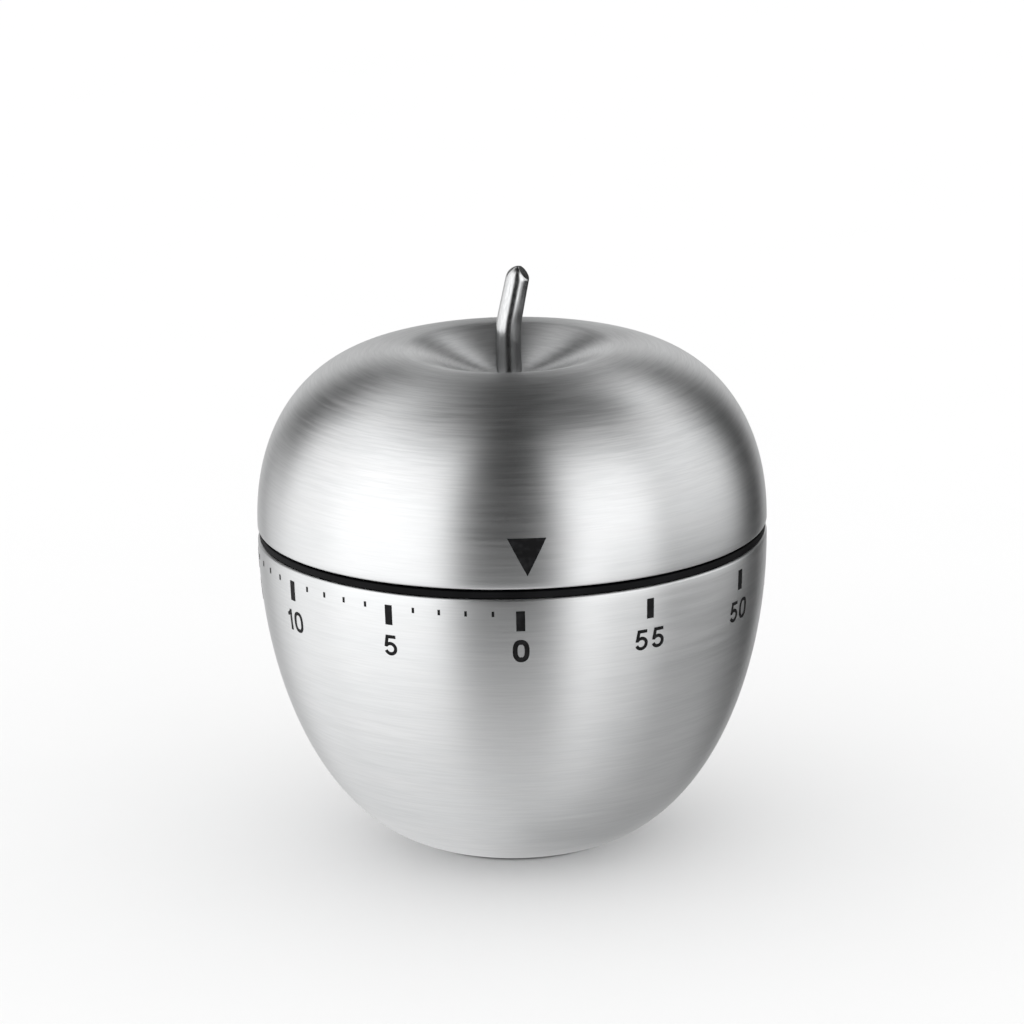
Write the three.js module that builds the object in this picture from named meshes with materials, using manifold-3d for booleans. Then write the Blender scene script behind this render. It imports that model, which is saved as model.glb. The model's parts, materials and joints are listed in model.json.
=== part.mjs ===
// A 60-minute wind-up kitchen timer in the shape of an apple.
// The lower shell stands still; the dome above the seam is the knob and the dial pointer.
// Units are millimetres. The origin is the centre of the foot's flat face, +Z is up and -Y faces the user.
import * as THREE from "three";
import { mergeVertices } from "three/addons/utils/BufferGeometryUtils.js";
import Module from "manifold-3d";

const wasm = await Module();
wasm.setup();

// ---------------------------------------------------------------- driving dimensions
// Apple body
const BODY_RADIUS = 31.5; // at the seam between the two shells
const SEAM_HEIGHT = 39.35; // rim of the lower shell above the floor
const DOME_HEIGHT = 22.05; // crest of the dome above its own rim
const CREST_RADIUS = 13.3; // ring where the dome is highest
const SHELL_WALL = 0.6;
const DIMPLE_DEPTH = 3.3; // below the crest
const DIMPLE_FLAT_RADIUS = 2.8; // flat seat of the stem at the bottom of the dimple
const FOOT_RADIUS = 11.5; // where the bowl turns in to its foot
const FOOT_EDGE_HEIGHT = 0.35; // bowl's lowest edge above the floor

// Handle lengths of the two outline curves, as shares of the height or width that they bridge
const BOWL_SIDE_SHARE = 0.46;
const BOWL_FOOT_SHARE = 0.64;
const BOWL_FOOT_RISE = 0.078;
const DOME_SIDE_SHARE = 0.6;
const DOME_BULGE = 0.35;
const DOME_TOP_SHARE = 0.615;

// Seam between the shells
const SEAM_BAND_HEIGHT = 0.8; // black band that shows between the shells
const SEAM_BAND_RECESS = 0.25;
const SEAM_GAP = 0.3; // running gap between the band and the turning dome

// Stem
const STEM_RADIUS = 1.55;
const STEM_LENGTH = 13.2; // above the bottom of the dimple
const STEM_LEAN = 1.48; // how far its top stands to the side
const STEM_THREAD_RADIUS = 1.1;
const STEM_THREAD_BEYOND = 1.2; // below its nut
const STEM_NUT_HEIGHT = 2;
const STEM_NUT_RADIUS = 2.4;
const STEM_WASHER_THICKNESS = 0.4;

// Foot
const FLANGE_RISE = 1.2; // bowl's inner flange above its lowest edge
const FLANGE_WIDTH = 3.5;
const COVER_INSET = 0.5; // between the bowl's lowest edge and the cover
const COVER_STANDOFF = 0.45; // cover's face above the floor, under the pad
const PAD_INSET = 0.6;
const PAD_WIDTH = 1.9;
const PAD_GROOVE_DEPTH = 0.5;
const BASE_SCREW_INSET = 0.5; // between the pad's groove and the screws' counterbores
const BASE_SCREW_RADIUS = 0.9;
const BASE_SCREW_HEAD_RADIUS = 1.6;
const BASE_SCREW_HEAD_HEIGHT = 0.6;
const BASE_SCREW_TIP_GAP = 1.5; // tip below the top of the cup's floor
const BASE_SCREW_COUNT = 3;
const BOSS_RADIUS = 3.1;

// Inner cup, which nests in the bowl and carries the movement
const CUP_WALL = 1.5;
const CUP_GAP = 0.4; // between the bowl and the cup
const SHELF_DROP = 2.4; // shelf of the inner cover below the rim
const SHELF_WIDTH = 1.6;
const SHELF_THICKNESS = 0.7;
const INNER_COVER_THICKNESS = 1.1;

// Movement frame
const PLATE_THICKNESS = 0.8;
const PLATE_EDGE_GAP = 3.3; // between the base plate and the cup's wall
const PILLAR_RADIUS = 1.3;
const PILLAR_INSET = 2.1; // from the plate's edge
const PILLAR_ANGLES = [20, 114, 215, 325];
const PILLAR_STUD_RADIUS = 0.75;
const NUT_HEIGHT = 1.1;
const NUT_RADIUS = 1.75;
const MOUNT_INSET = 1.7;
const MOUNT_ANGLES = [50, 170, 290];
const MOUNT_SCREW_RADIUS = 0.8;
const MOUNT_HEAD_RADIUS = 1.6;
const MOUNT_HEAD_HEIGHT = 1.1;
const MOUNT_SCREW_LENGTH = 6;
const MOUNT_POST_RADIUS = 2.2;

// Arbors
const ARBOR_RADIUS = 0.6;
const PIVOT_RADIUS = 0.4;
const MAIN_ARBOR_RADIUS = 2;
const MAIN_PIVOT_RADIUS = 1;
const ARBOR_FLAT = 0.6; // depth of the flat on the main arbor's upper end

// Clearances
const RUNNING_CLEARANCE = 0.1;
const SEAT_CLEARANCE = 0.05;
const FACE_GAP = 0.1; // between two flat faces that rest on each other
const END_PLAY = 0.3;
const LEVEL_GAP = 0.6; // between wheels that pass over each other

// Plan sizes of the movement, as they are for a base plate of this radius
const PLAN_RADIUS = 23.5;
const MAIN = { teeth: 48, module: 0.46, thickness: 0.8, windows: { count: 4, circle: 7, radius: 2 } };
const SECOND = { teeth: 40, module: 0.42, thickness: 0.6, windows: { count: 3, circle: 4.5, radius: 2 } };
const THIRD = { teeth: 36, module: 0.34, thickness: 0.5, windows: { count: 3, circle: 3.3, radius: 1.4 } };
const BARREL_RIM = { teeth: 48, module: 0.46, thickness: 1 };
const PINION_LEAVES = 8;
const PINION_OVERHANG = 0.3; // leaves beyond each face of the wheel that drives them
const SECOND_ANGLE = 90; // direction of the second arbor from the main arbor
const THIRD_CIRCLE = 14.8;
const ESCAPE_CIRCLE = 17.2;
const VERGE_CIRCLE = 18.2;
const VERGE_DISTANCE = 6.5; // escape arbor to verge arbor
const ESCAPE = { teeth: 15, radius: 4.2, depth: 1.1, lean: 0.3, thickness: 0.6, level: 4 };
const PALLET_CLEARANCE = 0.5; // pallets stand this far outside their wheel's tips
const PALLET_SPREAD = 42; // half the angle between two pallets, seen from their wheel
const PALLET_THICKNESS = 0.9;
const WEIGHT_HALF_LENGTH = 4.6;
const WEIGHT_WIDTH = 2;
const WEIGHT_THICKNESS = 1.4;

// Mainspring barrel
const BARREL_HEIGHT = 5.4;
const BARREL_WALL = 0.5;
const SPRING_STRIP = 0.3;
const SPRING_TURNS = 5;
const SPRING_HEIGHT = 3.6;

// Alarm train, bell and hammer
const ALARM_ANGLE = 300;
const STAR = { teeth: 12, radius: 4, depth: 1.3, lean: 0.5, thickness: 0.6 };
const STAR_DROP = 2.2; // star wheel below the base plate
const HAMMER_CIRCLE = 11;
const HAMMER_ANGLE = 330;
const HAMMER_HEAD_ANGLE = 28;
const HAMMER_STRIKE_GAP = 1; // between the resting head and the bell
const HAMMER_HEAD_RADIUS = 1.2;
const HAMMER_NECK_RADIUS = 0.6;
const HAMMER_HEAD_HEIGHT = 2.4;
const HAMMER_ARM_WIDTH = 0.9;
const BELL_GAP = 0.6; // between the bell and the cup's posts
const BELL_WALL = 0.7;
const BELL_HEIGHT = 5.6;
const BELL_DROP = 7.1; // underside of the bell below the base plate
const BELL_POST_RADIUS = 2.6;
const BELL_POST_SHOULDER = 1;
const BELL_SCREW_HEAD_HEIGHT = 0.8;
const BELL_SCREW_LENGTH = 3.6;

// Trip work: a cam on the main arbor holds the lever until the dial is back at 0
const CAM_RADIUS = 8;
const CAM_NOTCH_DEPTH = 1.2;
const CAM_NOTCH_HALF_ANGLE = 9;
const CAM_THICKNESS = 0.6;
const LEVER_CIRCLE = 13.2;
const LEVER_ANGLE = 262;
const NOSE_ANGLE = 235;
const NOSE_CLEARANCE = 0.25;
const LEVER_WIDTH = 1.4;
const LOCK_DISC_RADIUS = 2.2;
const LOCK_CLEARANCE = 0.4;
const RATCHET = { teeth: 12, radius: 4.4, depth: 0.7, lean: 0.85, thickness: 0.5 };
const CLICK_CIRCLE = 7.4;
const CLICK_NOSE_ANGLE = -28;
const CLICK_SPRING_ANGLE = 60;
const RIVET_RADIUS = 0.45;

// Dial insert
const INSERT_WALL = 1.2;
const INSERT_HEIGHT = 6.2;
const INSERT_GAP = 0.3; // between the insert and the dome
const HUB_RADIUS = 4.6;
const HUB_CLEAR = 0.5; // hub above the inner cover
const INSERT_WINDOWS = 6;

// Facets
const BODY_SEGMENTS = 28;
const PLATE_SEGMENTS = 24;
const PART_SEGMENTS = 14;
const SMALL_SEGMENTS = 8;

// ---------------------------------------------------------------- heights above the floor
const bandTop = SEAM_HEIGHT + FACE_GAP + SEAM_BAND_HEIGHT;
const domeRim = bandTop + SEAM_GAP;
const crestHeight = domeRim + DOME_HEIGHT;
const dimpleHeight = crestHeight - DIMPLE_DEPTH;
const insertTop = domeRim + INSERT_HEIGHT;

const flangeUnderside = FOOT_EDGE_HEIGHT + FLANGE_RISE;
const flangeTop = flangeUnderside + SHELL_WALL;
const coverTop = flangeUnderside - FACE_GAP;
const screwSeat = COVER_STANDOFF + BASE_SCREW_HEAD_HEIGHT - 0.15; // floor of the cover's counterbores

// The movement's levels above the top of its base plate, from the barrel up to the cam
const barrelLevel = END_PLAY + 0.2;
const mainLevel = barrelLevel + BARREL_HEIGHT + 2 * LEVEL_GAP + END_PLAY;
const ratchetLevel = mainLevel + MAIN.thickness + FACE_GAP;
const secondLevel = ratchetLevel + RATCHET.thickness + LEVEL_GAP;
const thirdLevel = secondLevel + SECOND.thickness + LEVEL_GAP;
const camLevel = thirdLevel + THIRD.thickness + END_PLAY;
const plateGap = camLevel + CAM_THICKNESS + END_PLAY;
const weightLevel = ESCAPE.level + ESCAPE.thickness + 2 * LEVEL_GAP;

// The movement hangs from the inner cover, and the cup's floor is under its bell
const shelfTop = SEAM_HEIGHT - SHELF_DROP;
const innerCoverZ = shelfTop + FACE_GAP;
const innerCoverTop = innerCoverZ + INNER_COVER_THICKNESS;
const hubUnderside = innerCoverTop + HUB_CLEAR;
const topPlateTop = innerCoverZ - NUT_HEIGHT - 2 * FACE_GAP - END_PLAY;
const topPlateZ = topPlateTop - PLATE_THICKNESS;
const basePlateTop = topPlateZ - plateGap;
const basePlateZ = basePlateTop - PLATE_THICKNESS;
const bellZ = basePlateZ - BELL_DROP;
const starZ = basePlateZ - STAR_DROP;
const cupFloorTop = bellZ - BELL_SCREW_HEAD_HEIGHT - END_PLAY;
const cupFloor = cupFloorTop - CUP_WALL;
const baseScrewZ = screwSeat - FACE_GAP; // underside of the base screws' heads
const baseScrewTip = cupFloorTop - BASE_SCREW_TIP_GAP;

// ---------------------------------------------------------------- shape helpers
const v2 = (x, y) => new THREE.Vector2(x, y);
const radians = (angle) => (angle * Math.PI) / 180;
const degrees = (angle) => (angle * 180) / Math.PI;
const polar = (radius, angle) =>
  v2(radius * Math.cos(radians(angle)), radius * Math.sin(radians(angle)));
const heading = (from, to) => Math.atan2(to.y - from.y, to.x - from.x);

// A geometry as a manifold-3d solid with its faces pointing out.
function toSolid(geometry) {
  const bare = geometry.clone();
  bare.deleteAttribute("normal");
  bare.deleteAttribute("uv");
  const merged = mergeVertices(bare, 1e-4);
  const triangles = new Uint32Array(merged.index.array);
  const mesh = new wasm.Mesh({
    numProp: 3,
    vertProperties: new Float32Array(merged.attributes.position.array),
    triVerts: triangles,
  });
  const made = new wasm.Manifold(mesh);
  if (made.volume() > 0) return made;
  for (let i = 0; i < triangles.length; i += 3) {
    [triangles[i + 1], triangles[i + 2]] = [triangles[i + 2], triangles[i + 1]];
  }
  return new wasm.Manifold(
    new wasm.Mesh({ numProp: 3, vertProperties: mesh.vertProperties, triVerts: triangles }),
  );
}

function toGeometry(solid) {
  const mesh = solid.getMesh();
  const positions = new Float32Array(mesh.numVert * 3);
  for (let i = 0; i < mesh.numVert; i++) {
    positions.set(mesh.vertProperties.subarray(i * mesh.numProp, i * mesh.numProp + 3), i * 3);
  }
  return new THREE.BufferGeometry()
    .setAttribute("position", new THREE.BufferAttribute(positions, 3))
    .setIndex(new THREE.BufferAttribute(new Uint32Array(mesh.triVerts), 1));
}

const join = (...parts) => toGeometry(parts.map(toSolid).reduce((a, b) => a.add(b)));
const cut = (body, ...tools) =>
  toGeometry(tools.map(toSolid).reduce((a, b) => a.subtract(b), toSolid(body)));

// A closed outline of [radius, height] points turned about +Z.
function turned(points, segments = PART_SEGMENTS) {
  const outline = points.map(([radius, height]) => v2(radius, height));
  if (outline[0].x > 0) outline.push(outline[0].clone());
  return toGeometry(toSolid(new THREE.LatheGeometry(outline, segments).rotateX(Math.PI / 2)));
}

const disc = (radius, z, height, segments = PART_SEGMENTS) =>
  turned([[0, z], [radius, z], [radius, z + height], [0, z + height]], segments);

const ring = (inner, outer, z, height, segments = PART_SEGMENTS) =>
  turned([[inner, z], [outer, z], [outer, z + height], [inner, z + height]], segments);

// A cutter for a round hole, whose flats clear the radius.
const drill = (radius, z, height, segments = SMALL_SEGMENTS) =>
  disc(radius / Math.cos(Math.PI / segments), z, height, segments);

// A flat outline of Vector2 points raised from z by height.
const prism = (points, z, height) =>
  toGeometry(
    toSolid(
      new THREE.ExtrudeGeometry(new THREE.Shape(points), {
        depth: height,
        bevelEnabled: false,
      }).translate(0, 0, z),
    ),
  );

const moved = (geometry, at, z = 0) => geometry.clone().translate(at.x, at.y, z);

const hexagon = (radius) => Array.from({ length: 6 }, (_, i) => polar(radius, 60 * i));

// A bar with square ends from one point to another.
function bar(from, to, width) {
  const side = to.clone().sub(from).normalize().rotateAround(v2(0, 0), Math.PI / 2);
  side.multiplyScalar(width / 2);
  return [
    from.clone().sub(side),
    to.clone().sub(side),
    to.clone().add(side),
    from.clone().add(side),
  ];
}

// Points of a curve moved sideways by distance, from parameter start to end, as [radius, height] pairs.
function offsetPoints(curve, distance, count, start = 0, end = 1) {
  return Array.from({ length: count + 1 }, (_, i) => {
    const t = start + ((end - start) * i) / count;
    const point = curve.getPoint(t);
    const tangent = curve.getTangent(t);
    return [point.x - tangent.y * distance, point.y + tangent.x * distance];
  });
}

// Parameter at which the offset of a curve that only rises or only falls reaches a height.
function parameterAt(curve, distance, height) {
  let [low, high] = [0, 1];
  const rises = curve.getPoint(1).y > curve.getPoint(0).y;
  for (let i = 0; i < 40; i++) {
    const middle = (low + high) / 2;
    const [[, y]] = offsetPoints(curve, distance, 1, middle, middle);
    if (y < height === rises) low = middle;
    else high = middle;
  }
  return (low + high) / 2;
}

// ---------------------------------------------------------------- outlines of the apple
// From the foot up to the rim, so that an offset to the left goes inwards.
const bowlRise = SEAM_HEIGHT - FOOT_EDGE_HEIGHT;
const bowlCurve = new THREE.CubicBezierCurve(
  v2(FOOT_RADIUS, FOOT_EDGE_HEIGHT),
  v2(
    FOOT_RADIUS + (BODY_RADIUS - FOOT_RADIUS) * BOWL_FOOT_SHARE,
    FOOT_EDGE_HEIGHT + bowlRise * BOWL_FOOT_RISE,
  ),
  v2(BODY_RADIUS, SEAM_HEIGHT - bowlRise * BOWL_SIDE_SHARE),
  v2(BODY_RADIUS, SEAM_HEIGHT),
);
const domeCurve = new THREE.CubicBezierCurve(
  v2(BODY_RADIUS, domeRim),
  v2(BODY_RADIUS + DOME_BULGE, domeRim + DOME_HEIGHT * DOME_SIDE_SHARE),
  v2(CREST_RADIUS + (BODY_RADIUS - CREST_RADIUS) * DOME_TOP_SHARE, crestHeight),
  v2(CREST_RADIUS, crestHeight),
);
const dimpleSpan = CREST_RADIUS - DIMPLE_FLAT_RADIUS;
const dimpleCurve = new THREE.CubicBezierCurve(
  v2(CREST_RADIUS, crestHeight),
  v2(CREST_RADIUS - dimpleSpan * 0.2, crestHeight),
  v2(DIMPLE_FLAT_RADIUS + dimpleSpan * 0.2, dimpleHeight),
  v2(DIMPLE_FLAT_RADIUS, dimpleHeight),
);

const cupOuter = SHELL_WALL + CUP_GAP; // inwards from the bowl's outline
const cupInner = cupOuter + CUP_WALL;

// Radius of the cup's inner wall at a height.
function cupBore(height) {
  const at = parameterAt(bowlCurve, cupInner, height);
  return offsetPoints(bowlCurve, cupInner, 1, at, at)[0][0];
}

// ---------------------------------------------------------------- plan of the movement, seen from above
const plateRadius = cupBore(basePlateZ) - PLATE_EDGE_GAP;
const planScale = plateRadius / PLAN_RADIUS;
const plan = (size) => size * planScale;
const pillarCircle = plateRadius - PILLAR_INSET;
const mountCircle = plateRadius - MOUNT_INSET;
const bellRadius = mountCircle - MOUNT_POST_RADIUS - BELL_GAP;

const pitchRadius = (gear) => plan((gear.teeth * gear.module) / 2);
const rootRadius = (gear) => pitchRadius(gear) - plan(gear.module) * 1.25;
const pinionFor = (gear) => ({ teeth: PINION_LEAVES, module: gear.module });
const meshDistance = (gear) => pitchRadius(gear) + pitchRadius(pinionFor(gear));
// Angle at the centre between two arbors at radii a and b that stand a distance c apart.
const angleBetween = (a, b, c) => degrees(Math.acos((a * a + b * b - c * c) / (2 * a * b)));

const thirdAngle =
  SECOND_ANGLE + angleBetween(meshDistance(MAIN), plan(THIRD_CIRCLE), meshDistance(SECOND));
const escapeAngle =
  thirdAngle + angleBetween(plan(THIRD_CIRCLE), plan(ESCAPE_CIRCLE), meshDistance(THIRD));
const vergeAngle = escapeAngle + angleBetween(ESCAPE_CIRCLE, VERGE_CIRCLE, VERGE_DISTANCE);
const MAIN_AT = v2(0, 0);
const SECOND_AT = polar(meshDistance(MAIN), SECOND_ANGLE);
const THIRD_AT = polar(plan(THIRD_CIRCLE), thirdAngle);
const ESCAPE_AT = polar(plan(ESCAPE_CIRCLE), escapeAngle);
const VERGE_AT = polar(plan(VERGE_CIRCLE), vergeAngle);
const ALARM_AT = polar(meshDistance(BARREL_RIM), ALARM_ANGLE);
const HAMMER_AT = polar(plan(HAMMER_CIRCLE), HAMMER_ANGLE);
const LEVER_AT = polar(plan(LEVER_CIRCLE), LEVER_ANGLE);
const HEAD_AT = polar(
  bellRadius - BELL_WALL - HAMMER_STRIKE_GAP - HAMMER_HEAD_RADIUS,
  HAMMER_HEAD_ANGLE,
);

// ---------------------------------------------------------------- gears
// Involute teeth, with a tooth on the direction `towards` if `toothed`, or else a gap.
function gearOutline({ teeth, module }, towards, toothed) {
  const pitch = plan((teeth * module) / 2);
  const base = pitch * Math.cos(radians(20));
  const tip = pitch + plan(module) * 0.86;
  const root = pitch - plan(module) * 1.25;
  const backlash = 0.16 / teeth; // as an angle off each flank at the pitch circle
  const involute = (radius) => {
    const t = Math.sqrt(Math.max((radius / base) ** 2 - 1, 0));
    return t - Math.atan(t);
  };
  const halfAtPitch = Math.PI / (2 * teeth) - backlash;
  const half = (radius) => halfAtPitch + involute(pitch) - involute(radius);
  const flankFoot = Math.max(base, root);
  const radii = flankFoot - root > plan(module) / 4 ? [root, flankFoot, tip] : [flankFoot, tip];
  const phase = towards + (toothed ? 0 : Math.PI / teeth);
  const points = [];
  for (let n = 0; n < teeth; n++) {
    const middle = phase + (2 * Math.PI * n) / teeth;
    for (const radius of radii) points.push([radius, middle - half(radius)]);
    for (const radius of radii.toReversed()) points.push([radius, middle + half(radius)]);
  }
  return points.map(([radius, angle]) => v2(radius * Math.cos(angle), radius * Math.sin(angle)));
}

// A wheel with a bore, and with round windows that leave spokes between them.
function wheel(gear, towards, boreRadius, extraHoles = []) {
  const deep = gear.thickness + 2;
  const windows = Array.from({ length: gear.windows.count }, (_, i) => {
    const at = polar(plan(gear.windows.circle), (360 * (i + 0.5)) / gear.windows.count);
    return moved(disc(plan(gear.windows.radius), -1, deep, SMALL_SEGMENTS), at);
  });
  return cut(
    prism(gearOutline(gear, towards, true), 0, gear.thickness),
    drill(boreRadius, -1, deep, PART_SEGMENTS),
    ...windows,
    ...extraHoles,
  );
}

// Leaves of the pinion that a gear drives, from z upwards.
function leavesFor(gear, towards, z) {
  const height = gear.thickness + 2 * PINION_OVERHANG;
  return prism(gearOutline(pinionFor(gear), towards, false), z - PINION_OVERHANG, height);
}

// Pointed teeth that may lean to one side, as on an escape wheel, a star wheel or a ratchet.
function pointedWheel({ teeth, radius, depth, lean, thickness }, boreRadius) {
  const step = 360 / teeth;
  const points = Array.from({ length: teeth }, (_, n) => [
    polar(plan(radius - depth), step * n),
    polar(plan(radius), step * (n + lean)),
  ]);
  return cut(
    prism(points.flat(), 0, thickness),
    drill(boreRadius, -1, thickness + 2, PART_SEGMENTS),
  );
}

// Two pallets on arms astride a wheel, whose arbor lies a distance away along +X.
function pallets(distance, wheelRadius, thickness) {
  const reach = wheelRadius + plan(PALLET_CLEARANCE);
  const corner = (side, outwards, spread) => {
    const angle = Math.PI - side * radians(spread);
    return v2(
      distance + (reach + outwards) * Math.cos(angle),
      (reach + outwards) * Math.sin(angle),
    );
  };
  const inner = (side) => corner(side, 0, PALLET_SPREAD);
  const outer = (side) => corner(side, plan(PALLET_THICKNESS), PALLET_SPREAD + 6);
  const waist = ARBOR_RADIUS + SEAT_CLEARANCE + 0.4;
  return prism(
    [
      v2(-waist, waist * 0.6),
      v2(-waist, -waist * 0.6),
      outer(-1),
      inner(-1),
      v2(waist, -waist * 0.5),
      v2(waist, waist * 0.5),
      inner(1),
      outer(1),
    ],
    0,
    thickness,
  );
}

// ---------------------------------------------------------------- arbors and fasteners
// A plain arbor from the base plate up to the top plate, with a pivot in each.
function pivotedArbor() {
  const pivot = PLATE_THICKNESS + END_PLAY;
  return turned(
    [
      [0, -PLATE_THICKNESS],
      [PIVOT_RADIUS, -PLATE_THICKNESS],
      [PIVOT_RADIUS, END_PLAY],
      [ARBOR_RADIUS, END_PLAY],
      [ARBOR_RADIUS, plateGap - END_PLAY],
      [PIVOT_RADIUS, plateGap - END_PLAY],
      [PIVOT_RADIUS, plateGap - END_PLAY + pivot],
      [0, plateGap - END_PLAY + pivot],
    ],
    SMALL_SEGMENTS,
  );
}

// A pan-head screw with its shank pointing up from z = 0, and a cross recess under its head if it shows.
function screw(headRadius, headHeight, shankRadius, length, recessed) {
  const body = turned(
    [
      [0, -headHeight],
      [headRadius * 0.7, -headHeight],
      [headRadius, -headHeight * 0.45],
      [headRadius, 0],
      [shankRadius, 0],
      [shankRadius, length - shankRadius],
      [0, length],
    ],
    SMALL_SEGMENTS,
  );
  if (!recessed) return body;
  const slots = [0, 90].map((angle) => {
    const end = polar(headRadius * 0.5, angle);
    const outline = bar(end.clone().negate(), end, headRadius * 0.24);
    return prism(outline, -headHeight - 1, 1 + headHeight * 0.5);
  });
  return cut(body, ...slots);
}

const nut = (radius, bore, height) =>
  cut(prism(hexagon(radius), 0, height), drill(bore, -1, height + 2));

// A flat piece with a rivet's shank hanging from it, level with the far face of the sheet below it.
const riveted = (outline, thickness, at, sheet) =>
  join(
    prism(outline, 0, thickness),
    moved(disc(RIVET_RADIUS, -sheet - FACE_GAP, sheet + FACE_GAP + thickness, SMALL_SEGMENTS), at),
  );

// ---------------------------------------------------------------- materials
const material = (color, roughness, metalness) =>
  new THREE.MeshStandardMaterial({ color, roughness, metalness });
const brushedSteel = material(0xc4c6c8, 0.32, 1);
const polishedSteel = material(0xd0d2d4, 0.12, 1);
const blackPlastic = material(0x17171a, 0.6, 0);
const rubber = material(0x101012, 0.9, 0);
const platedSteel = material(0xb4b6b8, 0.35, 1);
const brass = material(0xc29a4a, 0.3, 1);
const springSteel = material(0x5d6470, 0.3, 1);

const timer = new THREE.Group();
function group() {
  const made = new THREE.Group();
  timer.add(made);
  return made;
}

function place(parent, name, geometry, surface, z = 0, at = MAIN_AT) {
  const mesh = new THREE.Mesh(geometry, surface);
  mesh.name = name;
  mesh.position.set(at.x, at.y, z);
  parent.add(mesh);
}

// ---------------------------------------------------------------- lower shell and foot
const coverRadius = FOOT_RADIUS - COVER_INSET;
const padOuter = coverRadius - PAD_INSET;
const padInner = padOuter - PAD_WIDTH;
const counterboreRadius = BASE_SCREW_HEAD_RADIUS + RUNNING_CLEARANCE;
const baseScrewCircle = padInner - FACE_GAP - BASE_SCREW_INSET - counterboreRadius;
const baseScrewPlaces = Array.from({ length: BASE_SCREW_COUNT }, (_, i) =>
  polar(baseScrewCircle, 30 + (360 * i) / BASE_SCREW_COUNT),
);
const mountPlaces = MOUNT_ANGLES.map((angle) => polar(mountCircle, angle));
const pillarPlaces = PILLAR_ANGLES.map((angle) => polar(pillarCircle, angle));

function lowerShell() {
  const fold = FOOT_RADIUS - COVER_INSET / 2;
  const flangeRoot = parameterAt(bowlCurve, SHELL_WALL, flangeTop);
  return turned(
    [
      ...offsetPoints(bowlCurve, 0, 7),
      ...offsetPoints(bowlCurve, SHELL_WALL, 5, flangeRoot, 1).reverse(),
      [FOOT_RADIUS - FLANGE_WIDTH, flangeTop],
      [FOOT_RADIUS - FLANGE_WIDTH, flangeUnderside],
      [fold, flangeUnderside],
      [fold, FOOT_EDGE_HEIGHT],
    ],
    BODY_SEGMENTS,
  );
}

function baseCover() {
  const groove = ring(
    padInner - FACE_GAP,
    padOuter + FACE_GAP,
    COVER_STANDOFF - 1,
    1 + PAD_GROOVE_DEPTH,
    BODY_SEGMENTS,
  );
  const holes = baseScrewPlaces.flatMap((at) => [
    moved(drill(BASE_SCREW_RADIUS + RUNNING_CLEARANCE, 0, coverTop + 1), at),
    moved(drill(counterboreRadius, -1, screwSeat + 1, PART_SEGMENTS), at),
  ]);
  const body = disc(coverRadius, COVER_STANDOFF, coverTop - COVER_STANDOFF, BODY_SEGMENTS);
  return cut(body, groove, ...holes);
}

const footPad = () =>
  ring(padInner, padOuter, 0, COVER_STANDOFF + PAD_GROOVE_DEPTH - FACE_GAP, BODY_SEGMENTS);

// ---------------------------------------------------------------- inner cup
// A column from the middle of the cup's floor, kept within the middle of its wall.
function cupColumn(radius, from, to, at) {
  const floorMiddle = cupFloor + CUP_WALL / 2;
  const column = moved(disc(radius, from, to - from, SMALL_SEGMENTS), at);
  if (to <= floorMiddle) return column;
  const wallMiddle = turned(
    [
      [0, floorMiddle - 1],
      [cupBore(floorMiddle) + CUP_WALL / 2, floorMiddle - 1],
      ...[0, 0.25, 0.5, 0.75, 1].map((share) => {
        const height = floorMiddle + (to + 1 - floorMiddle) * share;
        return [cupBore(height) + CUP_WALL / 2, height];
      }),
      [0, to + 1],
    ],
    BODY_SEGMENTS,
  );
  return toGeometry(toSolid(column).intersect(toSolid(wallMiddle)));
}

function innerCup() {
  const along = (distance, height) => parameterAt(bowlCurve, distance, height);
  const shelfUnderside = shelfTop - SHELF_THICKNESS;
  const bandUnderside = SEAM_HEIGHT + FACE_GAP;
  const bandRadius = BODY_RADIUS - SEAM_BAND_RECESS;
  const shelfEdge = cupBore(shelfTop) - SHELF_WIDTH;
  const wall = turned(
    [
      [0, cupFloor],
      ...offsetPoints(bowlCurve, cupOuter, 5, along(cupOuter, cupFloor), 1),
      [BODY_RADIUS - cupOuter, bandUnderside],
      [bandRadius, bandUnderside],
      [bandRadius, bandTop],
      [BODY_RADIUS - cupInner, bandTop],
      ...offsetPoints(bowlCurve, cupInner, 1, along(cupInner, shelfTop), 1).reverse(),
      [shelfEdge, shelfTop],
      [shelfEdge, shelfUnderside],
      ...offsetPoints(
        bowlCurve,
        cupInner,
        4,
        along(cupInner, cupFloorTop),
        along(cupInner, shelfUnderside),
      ).reverse(),
      [0, cupFloorTop],
    ],
    BODY_SEGMENTS,
  );
  const floorMiddle = cupFloor + CUP_WALL / 2;
  const bosses = baseScrewPlaces.map((at) =>
    cupColumn(BOSS_RADIUS, flangeTop + FACE_GAP, floorMiddle, at),
  );
  const posts = mountPlaces.map((at) =>
    cupColumn(MOUNT_POST_RADIUS, floorMiddle, basePlateZ - FACE_GAP, at),
  );
  const basePilots = baseScrewPlaces.map((at) =>
    moved(drill(BASE_SCREW_RADIUS + SEAT_CLEARANCE, 0, baseScrewTip + END_PLAY), at),
  );
  const mountDepth = MOUNT_SCREW_LENGTH + END_PLAY;
  const mountPilots = mountPlaces.map((at) =>
    moved(
      drill(MOUNT_SCREW_RADIUS + SEAT_CLEARANCE, basePlateTop - mountDepth, mountDepth + 1),
      at,
    ),
  );
  return cut(join(wall, ...bosses, ...posts), ...basePilots, ...mountPilots);
}

function innerCover() {
  const rim = cupBore(shelfTop) - CUP_GAP;
  const bore = MAIN_ARBOR_RADIUS + 2 * RUNNING_CLEARANCE + END_PLAY;
  return ring(bore, rim, innerCoverZ, INNER_COVER_THICKNESS, BODY_SEGMENTS);
}

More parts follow.
